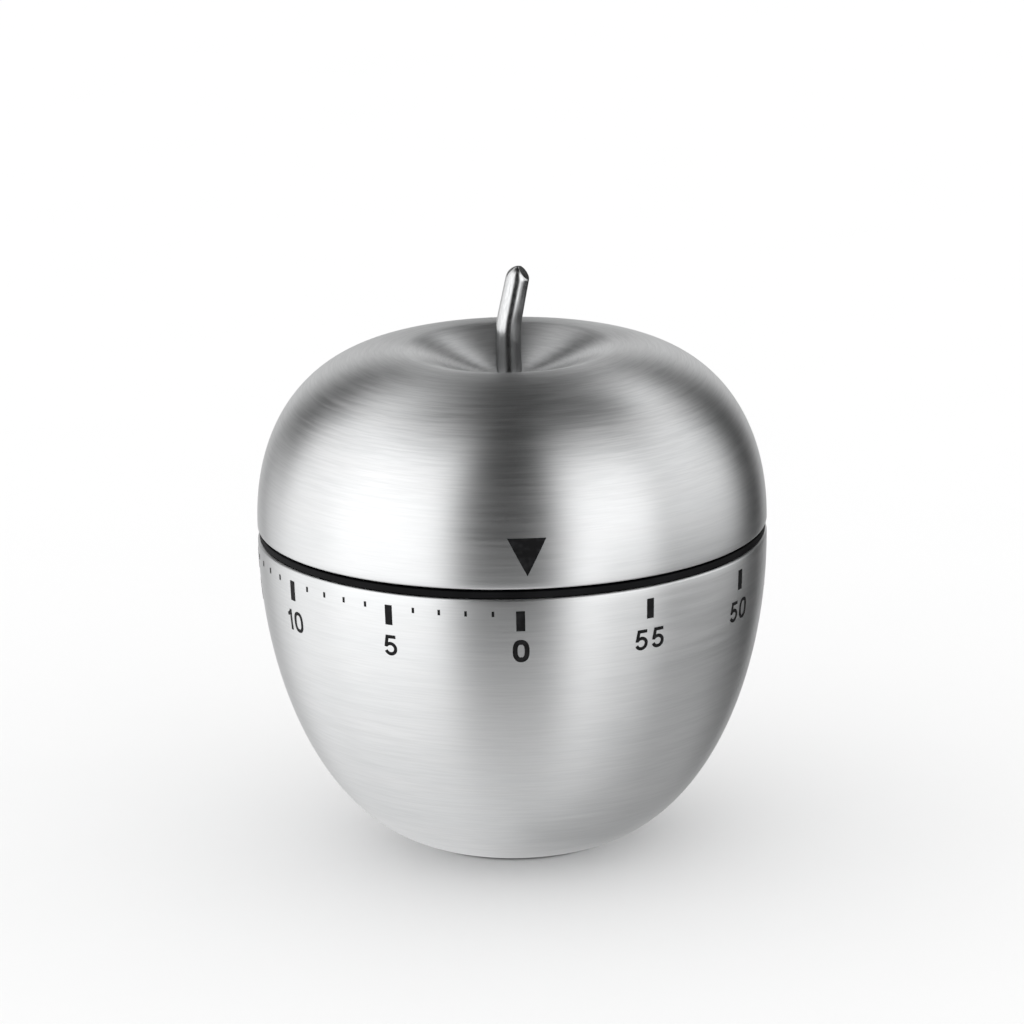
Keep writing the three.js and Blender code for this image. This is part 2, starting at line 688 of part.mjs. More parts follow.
// ---------------------------------------------------------------- movement frame
// A plate with a hole for each [radius, place].
function plate(z, holes) {
  const cutters = holes.map(([radius, at]) =>
    moved(drill(radius, z - 1, PLATE_THICKNESS + 2), at),
  );
  return cut(disc(plateRadius, z, PLATE_THICKNESS, PLATE_SEGMENTS), ...cutters);
}

const pivotHole = PIVOT_RADIUS + RUNNING_CLEARANCE;
const studHole = PILLAR_STUD_RADIUS + SEAT_CLEARANCE;
const trainPivots = [SECOND_AT, THIRD_AT, ESCAPE_AT, VERGE_AT].map((at) => [pivotHole, at]);
const studs = [LEVER_AT, ...pillarPlaces].map((at) => [studHole, at]);

const basePlate = () =>
  plate(basePlateZ, [
    ...trainPivots,
    ...studs,
    [pivotHole, HAMMER_AT],
    [ARBOR_RADIUS + RUNNING_CLEARANCE, ALARM_AT],
    [BELL_POST_RADIUS + SEAT_CLEARANCE, MAIN_AT],
    ...mountPlaces.map((at) => [MOUNT_SCREW_RADIUS + RUNNING_CLEARANCE, at]),
  ]);

const topPlate = () =>
  plate(topPlateZ, [
    ...trainPivots,
    ...studs,
    [pivotHole, ALARM_AT],
    [MAIN_ARBOR_RADIUS + RUNNING_CLEARANCE, MAIN_AT],
  ]);

// A post between the plates, with a riveted stud below its shoulder and another stud above it.
function post(radius, shoulder, studTop) {
  return turned(
    [
      [0, -PLATE_THICKNESS - FACE_GAP],
      [PILLAR_STUD_RADIUS, -PLATE_THICKNESS - FACE_GAP],
      [PILLAR_STUD_RADIUS, FACE_GAP],
      [radius, FACE_GAP],
      [radius, shoulder],
      [PILLAR_STUD_RADIUS, shoulder],
      [PILLAR_STUD_RADIUS, studTop],
      [0, studTop],
    ],
    SMALL_SEGMENTS,
  );
}

const leverPostRadius = PILLAR_STUD_RADIUS + 0.35;

// Torsion spring of the trip lever: a helix of wire round the lever's post.
function tripSpring() {
  const turns = 3;
  const wire = 0.2;
  const rise = 3 * wire; // of each turn
  const stepsPerTurn = 8;
  const points = Array.from({ length: turns * stepsPerTurn + 1 }, (_, i) => {
    const at = polar(leverPostRadius + 2 * wire, (360 * i) / stepsPerTurn);
    return new THREE.Vector3(at.x, at.y, (rise * i) / stepsPerTurn - rise * turns);
  });
  const section = new THREE.Shape(hexagon(wire));
  const path = new THREE.CatmullRomCurve3(points);
  const coil = { steps: turns * stepsPerTurn, extrudePath: path };
  return toGeometry(toSolid(new THREE.ExtrudeGeometry(section, coil)));
}

// ---------------------------------------------------------------- bell
const bellPostFoot = bellZ + BELL_WALL + FACE_GAP;

function bell() {
  const bore = MAIN_PIVOT_RADIUS + RUNNING_CLEARANCE;
  const floor = bellZ + BELL_WALL;
  return turned(
    [
      [bore, bellZ],
      [bellRadius - 2, bellZ],
      [bellRadius - 0.6, bellZ + 0.6],
      [bellRadius, bellZ + 2],
      [bellRadius, bellZ + BELL_HEIGHT],
      [bellRadius - BELL_WALL, bellZ + BELL_HEIGHT],
      [bellRadius - BELL_WALL, bellZ + 2],
      [bellRadius - 2, floor],
      [bore, floor],
    ],
    PLATE_SEGMENTS,
  );
}

// Post that holds the bell under the base plate and bears the main arbor's lower pivot.
function bellPost() {
  const shoulder = basePlateZ - FACE_GAP;
  const body = turned(
    [
      [0, bellPostFoot],
      [BELL_POST_RADIUS + BELL_POST_SHOULDER, bellPostFoot],
      [BELL_POST_RADIUS + BELL_POST_SHOULDER, shoulder],
      [BELL_POST_RADIUS, shoulder],
      [BELL_POST_RADIUS, basePlateTop + FACE_GAP],
      [0, basePlateTop + FACE_GAP],
    ],
    PART_SEGMENTS,
  );
  const pivotBore = drill(MAIN_PIVOT_RADIUS + RUNNING_CLEARANCE, basePlateZ, PLATE_THICKNESS + 1);
  const threadDepth = BELL_SCREW_LENGTH - BELL_WALL + END_PLAY;
  const thread = drill(MAIN_PIVOT_RADIUS + SEAT_CLEARANCE, bellPostFoot - 1, threadDepth + 1);
  return cut(body, pivotBore, thread);
}

// ---------------------------------------------------------------- dial: dome, stem, insert and main arbor
function upperShell() {
  const bore = STEM_THREAD_RADIUS + RUNNING_CLEARANCE;
  return turned(
    [
      ...offsetPoints(domeCurve, 0, 7),
      ...offsetPoints(dimpleCurve, 0, 3).slice(1),
      [bore, dimpleHeight],
      [bore, dimpleHeight - SHELL_WALL],
      ...offsetPoints(dimpleCurve, SHELL_WALL, 3).slice(1).reverse(),
      ...offsetPoints(domeCurve, SHELL_WALL, 5).reverse(),
    ],
    BODY_SEGMENTS,
  );
}

function stem() {
  const leans = [0, -0.05, 0.02, 0.43, 1];
  const heights = [0, 0.25, 0.46, 0.7, 1];
  const points = leans.map(
    (lean, i) => new THREE.Vector3(STEM_LEAN * lean, 0, FACE_GAP + STEM_LENGTH * heights[i]),
  );
  const section = new THREE.Shape(
    Array.from({ length: PART_SEGMENTS }, (_, i) =>
      polar(STEM_RADIUS, (360 * i) / PART_SEGMENTS),
    ),
  );
  const path = new THREE.CatmullRomCurve3(points);
  const rod = new THREE.ExtrudeGeometry(section, { steps: 8, extrudePath: path });
  const threadLength = SHELL_WALL + STEM_WASHER_THICKNESS + STEM_NUT_HEIGHT + STEM_THREAD_BEYOND;
  return join(rod, disc(STEM_THREAD_RADIUS, -threadLength, threadLength + 1, SMALL_SEGMENTS));
}

// A circle with one flat on its +X side.
function flattedOutline(radius, flat) {
  const edge = Math.acos((radius - flat) / radius);
  const steps = PART_SEGMENTS - 2;
  return Array.from({ length: steps + 1 }, (_, i) =>
    polar(radius, degrees(edge + ((2 * Math.PI - 2 * edge) * i) / steps)),
  );
}

function dialInsert() {
  const outer = SHELL_WALL + INSERT_GAP;
  const inner = outer + INSERT_WALL;
  const webZ = insertTop - INSERT_WALL;
  const foot = domeRim + FACE_GAP;
  const skirt = (distance, count, top) =>
    offsetPoints(
      domeCurve,
      distance,
      count,
      parameterAt(domeCurve, distance, foot),
      parameterAt(domeCurve, distance, top),
    );
  const body = turned(
    [
      [0, hubUnderside],
      [HUB_RADIUS, hubUnderside],
      [HUB_RADIUS, webZ],
      ...skirt(inner, 2, webZ).reverse(),
      ...skirt(outer, 3, insertTop),
      [0, insertTop],
    ],
    BODY_SEGMENTS,
  );
  const socket = prism(
    flattedOutline(MAIN_ARBOR_RADIUS + SEAT_CLEARANCE, ARBOR_FLAT),
    hubUnderside - 1,
    webZ + 1 - hubUnderside,
  );
  const webMiddle = (HUB_RADIUS + BODY_RADIUS - inner) / 2;
  const windowRadius = (BODY_RADIUS - inner - HUB_RADIUS) * 0.22;
  const windows = Array.from({ length: INSERT_WINDOWS }, (_, i) =>
    moved(
      disc(windowRadius, webZ - 1, INSERT_WALL + 2, SMALL_SEGMENTS),
      polar(webMiddle, (360 * (i + 0.5)) / INSERT_WINDOWS),
    ),
  );
  return cut(body, socket, ...windows);
}

function mainArbor() {
  const foot = basePlateZ + FACE_GAP;
  const shoulder = basePlateTop + 2 * FACE_GAP;
  const shaft = turned(
    [
      [0, foot],
      [MAIN_PIVOT_RADIUS, foot],
      [MAIN_PIVOT_RADIUS, shoulder],
      [MAIN_ARBOR_RADIUS, shoulder],
      [MAIN_ARBOR_RADIUS, hubUnderside],
      [0, hubUnderside],
    ],
    PART_SEGMENTS,
  );
  const flatted = prism(
    flattedOutline(MAIN_ARBOR_RADIUS - SEAT_CLEARANCE, ARBOR_FLAT),
    hubUnderside - 0.5,
    insertTop - INSERT_WALL - END_PLAY - hubUnderside + 0.5,
  );
  return join(shaft, flatted);
}

const mainBore = MAIN_ARBOR_RADIUS + SEAT_CLEARANCE;

function cam() {
  const points = Array.from({ length: PLATE_SEGMENTS }, (_, i) => {
    const fromNotch = (360 * i) / PLATE_SEGMENTS;
    const notched = Math.min(fromNotch, 360 - fromNotch) < CAM_NOTCH_HALF_ANGLE;
    return polar(plan(CAM_RADIUS - (notched ? CAM_NOTCH_DEPTH : 0)), NOSE_ANGLE + fromNotch);
  });
  return cut(
    prism(points, 0, CAM_THICKNESS),
    drill(mainBore, -1, CAM_THICKNESS + 2, PART_SEGMENTS),
  );
}

const clickPivot = polar(plan(CLICK_CIRCLE), 0);
const clickSpringRivet = polar(plan(CLICK_CIRCLE), CLICK_SPRING_ANGLE);
const rivetHole = (at) =>
  moved(drill(RIVET_RADIUS + SEAT_CLEARANCE, -1, MAIN.thickness + 2), at);

// Pawl that lets the arbor wind without the train, and drives the main wheel as the spring runs down.
function click() {
  const nose = polar(plan(RATCHET.radius) + 0.25, CLICK_NOSE_ANGLE);
  const beyond = clickPivot.clone().sub(nose).setLength(0.8).add(clickPivot);
  return riveted(bar(beyond, nose, 1.2), RATCHET.thickness, clickPivot, MAIN.thickness);
}

function clickSpring() {
  const beyond = polar(clickSpringRivet.length() + 0.1, CLICK_SPRING_ANGLE + 6);
  const tip = polar(clickPivot.length() + 0.9, 7);
  const outline = [
    ...bar(beyond, clickSpringRivet, 1.3).slice(0, 2),
    tip,
    polar(tip.length() + 0.35, 7),
    ...bar(beyond, clickSpringRivet, 1.3).slice(2),
  ];
  return riveted(outline, RATCHET.thickness, clickSpringRivet, MAIN.thickness);
}

// ---------------------------------------------------------------- mainspring barrel
const barrelRadius = rootRadius(BARREL_RIM) - 0.15;
const barrelBore = MAIN_ARBOR_RADIUS + RUNNING_CLEARANCE;
const barrelLidThickness = BARREL_WALL - FACE_GAP;

function barrel() {
  const wallTop = BARREL_HEIGHT - BARREL_WALL;
  const drum = turned(
    [
      [0, 0],
      [barrelRadius, 0],
      [barrelRadius, wallTop],
      [barrelRadius - BARREL_WALL, wallTop],
      [barrelRadius - BARREL_WALL, BARREL_WALL],
      [0, BARREL_WALL],
    ],
    PLATE_SEGMENTS,
  );
  const rim = cut(
    prism(gearOutline(BARREL_RIM, radians(ALARM_ANGLE), true), 0, BARREL_RIM.thickness),
    disc(barrelRadius - BARREL_WALL, -1, BARREL_RIM.thickness + 2, PLATE_SEGMENTS),
  );
  return cut(join(drum, rim), drill(barrelBore, -1, BARREL_HEIGHT, PART_SEGMENTS));
}

const barrelLid = () =>
  cut(
    disc(barrelRadius, 0, barrelLidThickness, PLATE_SEGMENTS),
    drill(barrelBore, -1, barrelLidThickness + 2, PART_SEGMENTS),
  );

// A strip wound as a spiral from near the arbor out to near the barrel's wall.
function mainspring() {
  const stepsPerTurn = 12;
  const inner = MAIN_ARBOR_RADIUS + 2 * END_PLAY;
  const outer = barrelRadius - BARREL_WALL - SPRING_STRIP - END_PLAY;
  const steps = SPRING_TURNS * stepsPerTurn;
  const side = (offset) =>
    Array.from({ length: steps + 1 }, (_, i) =>
      polar(inner + ((outer - inner) * i) / steps + offset, (360 * i) / stepsPerTurn),
    );
  return prism([...side(0), ...side(SPRING_STRIP).reverse()], 0, SPRING_HEIGHT);
}

// ---------------------------------------------------------------- alarm work
const arborSeat = ARBOR_RADIUS + SEAT_CLEARANCE;
const alarmFoot = STAR_DROP + PLATE_THICKNESS + 3 * END_PLAY;
const hammerFoot = STAR_DROP + 3 * END_PLAY;

// Arbor of the star wheel, which passes down through the base plate.
function alarmPinion() {
  const shaft = turned(
    [
      [0, -alarmFoot],
      [ARBOR_RADIUS, -alarmFoot],
      [ARBOR_RADIUS, plateGap - END_PLAY],
      [PIVOT_RADIUS, plateGap - END_PLAY],
      [PIVOT_RADIUS, plateGap + PLATE_THICKNESS],
      [0, plateGap + PLATE_THICKNESS],
    ],
    SMALL_SEGMENTS,
  );
  return join(shaft, leavesFor(BARREL_RIM, heading(ALARM_AT, MAIN_AT), barrelLevel));
}

function lockDisc() {
  const radius = plan(LOCK_DISC_RADIUS);
  const notch = prism(bar(v2(radius * 0.6, 0), v2(radius * 1.4, 0), 0.9), -1, CAM_THICKNESS + 2);
  const bore = drill(arborSeat, -1, CAM_THICKNESS + 2);
  return cut(disc(radius, 0, CAM_THICKNESS, PART_SEGMENTS), bore, notch);
}

function hammerArbor() {
  return turned(
    [
      [0, -hammerFoot],
      [ARBOR_RADIUS, -hammerFoot],
      [ARBOR_RADIUS, -END_PLAY],
      [PIVOT_RADIUS, -END_PLAY],
      [PIVOT_RADIUS, PLATE_THICKNESS],
      [0, PLATE_THICKNESS],
    ],
    SMALL_SEGMENTS,
  );
}

function hammerArm() {
  const deep = STAR.thickness + 2;
  const head = HEAD_AT.clone().sub(HAMMER_AT);
  const anchor = pallets(HAMMER_AT.distanceTo(ALARM_AT), plan(STAR.radius), STAR.thickness);
  const arm = prism(bar(v2(0, 0), head, HAMMER_ARM_WIDTH), 0, STAR.thickness);
  const eye = disc(HAMMER_NECK_RADIUS + 0.45, 0, STAR.thickness, PART_SEGMENTS);
  const body = join(anchor.rotateZ(heading(HAMMER_AT, ALARM_AT)), arm, moved(eye, head));
  const seat = drill(HAMMER_NECK_RADIUS + SEAT_CLEARANCE, -1, deep);
  return cut(body, drill(arborSeat, -1, deep), moved(seat, head));
}

// A thick disc under the arm, with a neck riveted up through the arm's eye.
const hammerHead = () =>
  turned(
    [
      [0, -HAMMER_HEAD_HEIGHT],
      [HAMMER_HEAD_RADIUS, -HAMMER_HEAD_HEIGHT],
      [HAMMER_HEAD_RADIUS, -FACE_GAP],
      [HAMMER_NECK_RADIUS, -FACE_GAP],
      [HAMMER_NECK_RADIUS, STAR.thickness + FACE_GAP],
      [0, STAR.thickness + FACE_GAP],
    ],
    PART_SEGMENTS,
  );

function tripLever() {
  const deep = CAM_THICKNESS + 2;
  const toNose = polar(plan(CAM_RADIUS) + NOSE_CLEARANCE, NOSE_ANGLE).sub(LEVER_AT);
  const toLock = ALARM_AT.clone().sub(LEVER_AT);
  const nose = toNose.setLength(toNose.length() - LEVER_WIDTH / 2);
  const finger = toLock.setLength(toLock.length() - plan(LOCK_DISC_RADIUS) - LOCK_CLEARANCE);
  const body = join(
    prism(bar(v2(0, 0), nose, LEVER_WIDTH), 0, CAM_THICKNESS),
    prism(bar(v2(0, 0), finger, LEVER_WIDTH * 0.7), 0, CAM_THICKNESS),
    disc(PILLAR_STUD_RADIUS + 1, 0, CAM_THICKNESS, PART_SEGMENTS),
  );
  return cut(body, drill(PILLAR_STUD_RADIUS + RUNNING_CLEARANCE, -1, deep, PART_SEGMENTS));
}

// ---------------------------------------------------------------- assembly
function addBase() {
  const base = group();
  place(base, "lower_shell", lowerShell(), brushedSteel);
  place(base, "base_cover", baseCover(), blackPlastic);
  place(base, "foot_pad", footPad(), rubber);
  const baseScrew = screw(
    BASE_SCREW_HEAD_RADIUS,
    BASE_SCREW_HEAD_HEIGHT,
    BASE_SCREW_RADIUS,
    baseScrewTip - baseScrewZ,
    true,
  );
  baseScrewPlaces.forEach((at, i) => {
    place(base, `base_screw_${i + 1}`, baseScrew, platedSteel, baseScrewZ, at);
  });
  place(base, "inner_cup", innerCup(), blackPlastic);
  place(base, "inner_cover", innerCover(), blackPlastic);
}

function addFrame() {
  const frame = group();
  place(frame, "base_plate", basePlate(), platedSteel);
  place(frame, "top_plate", topPlate(), platedSteel);
  const pillarTop = plateGap - FACE_GAP;
  const studTop = plateGap + PLATE_THICKNESS + FACE_GAP + NUT_HEIGHT;
  const pillar = post(PILLAR_RADIUS, pillarTop, studTop);
  const pillarNut = nut(NUT_RADIUS, studHole, NUT_HEIGHT);
  pillarPlaces.forEach((at, i) => {
    place(frame, `pillar_${i + 1}`, pillar, brass, basePlateTop, at);
    place(frame, `pillar_nut_${i + 1}`, pillarNut, platedSteel, topPlateTop + FACE_GAP, at);
  });
  const mountScrew = screw(
    MOUNT_HEAD_RADIUS,
    MOUNT_HEAD_HEIGHT,
    MOUNT_SCREW_RADIUS,
    MOUNT_SCREW_LENGTH,
    false,
  ).rotateX(Math.PI);
  mountPlaces.forEach((at, i) => {
    place(frame, `mount_screw_${i + 1}`, mountScrew, platedSteel, basePlateTop + FACE_GAP, at);
  });
  place(frame, "bell", bell(), platedSteel);
  place(frame, "bell_post", bellPost(), brass);
  const bellScrew = screw(
    BELL_POST_RADIUS,
    BELL_SCREW_HEAD_HEIGHT,
    MAIN_PIVOT_RADIUS,
    BELL_SCREW_LENGTH,
    false,
  );
  place(frame, "bell_screw", bellScrew, platedSteel, bellZ - FACE_GAP);
  const leverPost = post(leverPostRadius, camLevel - FACE_GAP, plateGap + PLATE_THICKNESS);
  place(frame, "lever_post", leverPost, platedSteel, basePlateTop, LEVER_AT);
  const springTop = basePlateTop + camLevel - 2 * END_PLAY;
  place(frame, "trip_spring", tripSpring(), springSteel, springTop, LEVER_AT);
}

function addDial() {
  const dial = group();
  place(dial, "upper_shell", upperShell(), brushedSteel);
  place(dial, "stem", stem(), polishedSteel, dimpleHeight);
  const bore = STEM_THREAD_RADIUS + SEAT_CLEARANCE;
  const washerZ = dimpleHeight - SHELL_WALL - FACE_GAP - STEM_WASHER_THICKNESS;
  const washer = cut(
    disc(STEM_NUT_RADIUS, 0, STEM_WASHER_THICKNESS),
    drill(bore, -1, STEM_WASHER_THICKNESS + 2),
  );
  place(dial, "stem_washer", washer, platedSteel, washerZ);
  const stemNut = nut(STEM_NUT_RADIUS, bore, STEM_NUT_HEIGHT);
  place(dial, "stem_nut", stemNut, platedSteel, washerZ - FACE_GAP - STEM_NUT_HEIGHT);
  place(dial, "dial_insert", dialInsert(), blackPlastic);
  place(dial, "main_arbor", mainArbor(), platedSteel);
  place(dial, "trip_cam", cam(), brass, basePlateTop + camLevel);
  const rivetHoles = [rivetHole(clickPivot), rivetHole(clickSpringRivet)];
  const mainWheel = wheel(MAIN, radians(SECOND_ANGLE), mainBore, rivetHoles);
  place(dial, "main_wheel", mainWheel, brass, basePlateTop + mainLevel);
  const onWheel = basePlateTop + ratchetLevel;
  place(dial, "ratchet_wheel", pointedWheel(RATCHET, mainBore), platedSteel, onWheel);
  place(dial, "click", click(), springSteel, onWheel);
  place(dial, "click_spring", clickSpring(), springSteel, onWheel);
}

// A step of the going train: an arbor driven by the wheel at `from`, and the wheel that it carries.
function addStep(name, at, from, driver, driverLevel, own, ownLevel) {
  const step = group();
  const leaves = leavesFor(driver, heading(at, from), driverLevel);
  const pinion = join(pivotedArbor(), leaves);
  place(step, `${name}_pinion`, pinion, platedSteel, basePlateTop, at);
  place(step, `${name}_wheel`, own, brass, basePlateTop + ownLevel, at);
}

function addTrain() {
  const second = wheel(SECOND, heading(SECOND_AT, THIRD_AT), arborSeat);
  const third = wheel(THIRD, heading(THIRD_AT, ESCAPE_AT), arborSeat);
  const escape = pointedWheel(ESCAPE, arborSeat);
  addStep("second", SECOND_AT, MAIN_AT, MAIN, mainLevel, second, secondLevel);
  addStep("third", THIRD_AT, SECOND_AT, SECOND, secondLevel, third, thirdLevel);
  addStep("escape", ESCAPE_AT, THIRD_AT, THIRD, thirdLevel, escape, ESCAPE.level);
}

function addVerge() {
  const verge = group();
  const anchor = cut(
    pallets(plan(VERGE_DISTANCE), plan(ESCAPE.radius), ESCAPE.thickness),
    drill(arborSeat, -1, ESCAPE.thickness + 2),
  ).rotateZ(heading(VERGE_AT, ESCAPE_AT));
  const end = polar(plan(WEIGHT_HALF_LENGTH), vergeAngle + 90);
  const weight = cut(
    prism(bar(end.clone().negate(), end, WEIGHT_WIDTH), 0, WEIGHT_THICKNESS),
    drill(arborSeat, -1, WEIGHT_THICKNESS + 2),
  );
  place(verge, "verge_arbor", pivotedArbor(), platedSteel, basePlateTop, VERGE_AT);
  place(verge, "verge_pallets", anchor, platedSteel, basePlateTop + ESCAPE.level, VERGE_AT);
  place(verge, "balance_weight", weight, brass, basePlateTop + weightLevel, VERGE_AT);
}

function addAlarm() {
  const drum = group();
  const barrelZ = basePlateTop + barrelLevel;
  const lidZ = barrelZ + BARREL_HEIGHT - barrelLidThickness;
  const springZ = barrelZ + (BARREL_HEIGHT - SPRING_HEIGHT) / 2;
  place(drum, "barrel", barrel(), brass, barrelZ);
  place(drum, "barrel_lid", barrelLid(), brass, lidZ);
  place(drum, "mainspring", mainspring(), springSteel, springZ);

  const alarm = group();
  place(alarm, "alarm_pinion", alarmPinion(), platedSteel, basePlateTop, ALARM_AT);
  place(alarm, "star_wheel", pointedWheel(STAR, arborSeat), brass, starZ, ALARM_AT);
  place(alarm, "lock_disc", lockDisc(), brass, basePlateTop + camLevel, ALARM_AT);

  const hammer = group();
  place(hammer, "hammer_arbor", hammerArbor(), platedSteel, basePlateZ, HAMMER_AT);
  place(hammer, "hammer_arm", hammerArm(), platedSteel, starZ, HAMMER_AT);
  place(hammer, "hammer_head", hammerHead(), brass, starZ, HEAD_AT);

  const lever = group();
  place(lever, "trip_lever", tripLever(), platedSteel, basePlateTop + camLevel, LEVER_AT);
}

addBase();
addFrame();
addDial();
addTrain();
addVerge();
addAlarm();

export default timer;
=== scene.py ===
"""Looks of the apple-shaped kitchen timer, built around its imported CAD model.

The shells, stem, seam, foot and printed scale are fine meshes that stand for their coarser
CAD nodes or lie on them. The movement inside keeps its CAD shapes and gets its finishes here.
Sizes are in millimetres until a mesh is made. Angles are in degrees, measured from the
scale's zero at -Y and growing to the right seen from outside.
"""

import json
import math

import bmesh
import bpy
import numpy as np
from mathutils import Matrix, Quaternion, Vector


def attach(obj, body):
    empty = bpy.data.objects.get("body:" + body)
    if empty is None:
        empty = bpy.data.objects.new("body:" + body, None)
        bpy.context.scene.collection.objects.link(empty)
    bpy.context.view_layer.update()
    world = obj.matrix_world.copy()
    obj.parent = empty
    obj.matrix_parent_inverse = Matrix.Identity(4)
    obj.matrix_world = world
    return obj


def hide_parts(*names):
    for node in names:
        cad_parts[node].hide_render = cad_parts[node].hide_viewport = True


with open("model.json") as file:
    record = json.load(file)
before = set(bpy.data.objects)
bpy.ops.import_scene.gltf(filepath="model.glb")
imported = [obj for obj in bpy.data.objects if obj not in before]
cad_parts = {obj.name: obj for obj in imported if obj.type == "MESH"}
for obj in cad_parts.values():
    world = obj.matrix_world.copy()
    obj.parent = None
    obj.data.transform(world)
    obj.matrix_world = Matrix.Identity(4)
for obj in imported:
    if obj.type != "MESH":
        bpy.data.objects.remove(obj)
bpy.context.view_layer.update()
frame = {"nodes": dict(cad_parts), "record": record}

MM = 0.001

# ---------------------------------------------------------------- sizes shared with the CAD model
BODY_RADIUS = 31.5
SHELL_WALL = 0.6
SEAM_HEIGHT = 39.35  # rim of the bowl
DOME_RIM = 40.55
CREST_RADIUS = 13.3
CREST_HEIGHT = 62.6
DIMPLE_FLAT_RADIUS = 2.8
DIMPLE_FLOOR = 59.3
STEM_BORE = 1.2

FLANGE_INNER_RADIUS = 8.0
FLANGE_UNDERSIDE = 1.55
FLANGE_TOP = 2.15
FOOT_FOLD_RADIUS = 11.25
FOOT_EDGE_RADIUS = 11.5
FOOT_EDGE_HEIGHT = 0.35
COVER_RADIUS = 11.0
COVER_FACE = 0.45
COVER_TOP = 1.45
PAD_INNER_RADIUS = 8.5
PAD_OUTER_RADIUS = 10.4
PAD_TOP = 0.85
PAD_GROOVE_TOP = 0.95
PAD_GROOVE_GAP = 0.1
SCREW_CIRCLE = 6.2
SCREW_ANGLES = (30, 150, 270)  # from +X, as in the CAD model
SCREW_HEAD_RADIUS = 1.6
SCREW_HEAD_FACE = 0.2
SCREW_HEAD_SEAT = 0.8
SCREW_RADIUS = 0.9
SCREW_TIP = 11.85
COUNTERBORE_RADIUS = 1.7
COUNTERBORE_FLOOR = 0.9
SCREW_HOLE_RADIUS = 1.0

# Corners of cubic Bezier curves, as (radius, height).
BOWL_OUTLINE = [
    (FOOT_EDGE_RADIUS, FOOT_EDGE_HEIGHT),
    (24.3, 3.392),
    (BODY_RADIUS, 21.41),
    (BODY_RADIUS, SEAM_HEIGHT),
]
DOME_OUTLINE = [
    (BODY_RADIUS, DOME_RIM),
    (31.85, 53.78),
    (24.493, CREST_HEIGHT),
    (CREST_RADIUS, CREST_HEIGHT),
]
DIMPLE_OUTLINE = [
    (CREST_RADIUS, CREST_HEIGHT),
    (11.2, CREST_HEIGHT),
    (4.9, DIMPLE_FLOOR),
    (DIMPLE_FLAT_RADIUS, DIMPLE_FLOOR),
]

STEM_RADIUS = 1.55
STEM_THREAD_RADIUS = 1.1
STEM_THREAD_LENGTH = 4.2  # below the bottom of the dimple
STEM_LENGTH = 13.2
STEM_LEAN = 1.48  # how far its top stands to the side
# Rows of (share of the length, share of the lean).
STEM_PATH = [(0, 0), (0.25, -0.05), (0.46, 0.02), (0.7, 0.43), (1, 1)]
STEM_GAP = 0.1  # under the rod's shoulder

# ---------------------------------------------------------------- details of the looks alone
LATHE_SEGMENTS = 288
DISC_SEGMENTS = 192
SCREW_SEGMENTS = 48
OUTLINE_STEPS = 56
OUTLINE_SAMPLES = 400  # for looking up a radius at a height
RIM_STEPS = 8
FOLD_CORNER = ((0, 0.15), (0.04, 0.05), (0.13, 0))  # (outwards, upwards) from the fold's corner

BAND_OUTER_RADIUS = 31.3
BAND_INNER_RADIUS = 30.6
BAND_BOTTOM = 39.44
BAND_TOP = 40.26
BAND_EDGE = 0.12  # its rounding

INK_LIFT = 0.03  # the print's face above the steel
INK_DEPTH = 0.05  # its underside below the steel, so that it leaves no gap

MINUTES_ROUND = 60
TICK_TOP = 37.9
TICK_HEIGHT = 2.5
TICK_WIDTH = 0.95
ZERO_TICK_WIDTH = 1.08
DOT_WIDTH = 0.31
DOT_HEIGHT = 0.66
DOTTED_MINUTES = 15
DIGIT_HEIGHT = 2.65
ZERO_HEIGHT = 2.85
DIGIT_STROKE = 0.42
ZERO_STROKE = 0.6
DIGIT_GAP = 0.55
DIGIT_FOOT = 31.45

POINTER_ANGLE = 1.67
POINTER_WIDTH = 4.75
POINTER_TOP = 46.8
POINTER_APEX = 42.25


# ---------------------------------------------------------------- outlines
def bezier(corners, steps, start=0.0, end=1.0):
    """Points along a cubic Bezier curve between two parameters, both ends included."""
    points = []
    for i in range(steps + 1):
        t = start + (end - start) * i / steps
        weights = ((1 - t) ** 3, 3 * t * (1 - t) ** 2, 3 * t * t * (1 - t), t**3)
        points.append(
            (
                sum(w * corner[0] for w, corner in zip(weights, corners)),
                sum(w * corner[1] for w, corner in zip(weights, corners)),
            )
        )
    return points


def parameter_at(corners, height):
    """The Bezier parameter where the curve reaches a height, for a curve that only rises."""
    low, high = 0.0, 1.0
    for _ in range(40):
        middle = (low + high) / 2
        if bezier(corners, 1, middle, middle)[0][1] < height:
            low = middle
        else:
            high = middle
    return low


def inset(points, distance):
    """An open outline moved to its left by a distance."""
    moved = []
    for i, (x, y) in enumerate(points):
        before = points[max(i - 1, 0)]
        after = points[min(i + 1, len(points) - 1)]
        dx, dy = after[0] - before[0], after[1] - before[1]
        length = math.hypot(dx, dy)
        moved.append((x - dy / length * distance, y + dx / length * distance))
    return moved


def arc(centre, radii, start, end, steps):
    """Points on an ellipse between two angles in degrees."""
    points = []
    for i in range(steps + 1):
        angle = math.radians(start + (end - start) * i / steps)
        points.append(
            (centre[0] + radii[0] * math.cos(angle), centre[1] + radii[1] * math.sin(angle))
        )
    return points


def rounded(corners, steps=5):
    """A closed outline from (x, y, corner radius) rows, with each corner replaced by an arc."""
    points = []
    count = len(corners)
    for i, (x, y, radius) in enumerate(corners):
        here = Vector((x, y))
        before = (Vector(corners[i - 1][:2]) - here).normalized()
        after = (Vector(corners[(i + 1) % count][:2]) - here).normalized()
        if radius == 0:
            points.append((x, y))
            continue
        half = before.angle(after) / 2
        reach = radius / math.tan(half)
        centre = here + (before + after).normalized() * (radius / math.sin(half))
        start, end = here + before * reach - centre, here + after * reach - centre
        for step in range(steps + 1):
            spoke = start.lerp(end, step / steps).normalized() * radius
            points.append(tuple(centre + spoke))
    return points


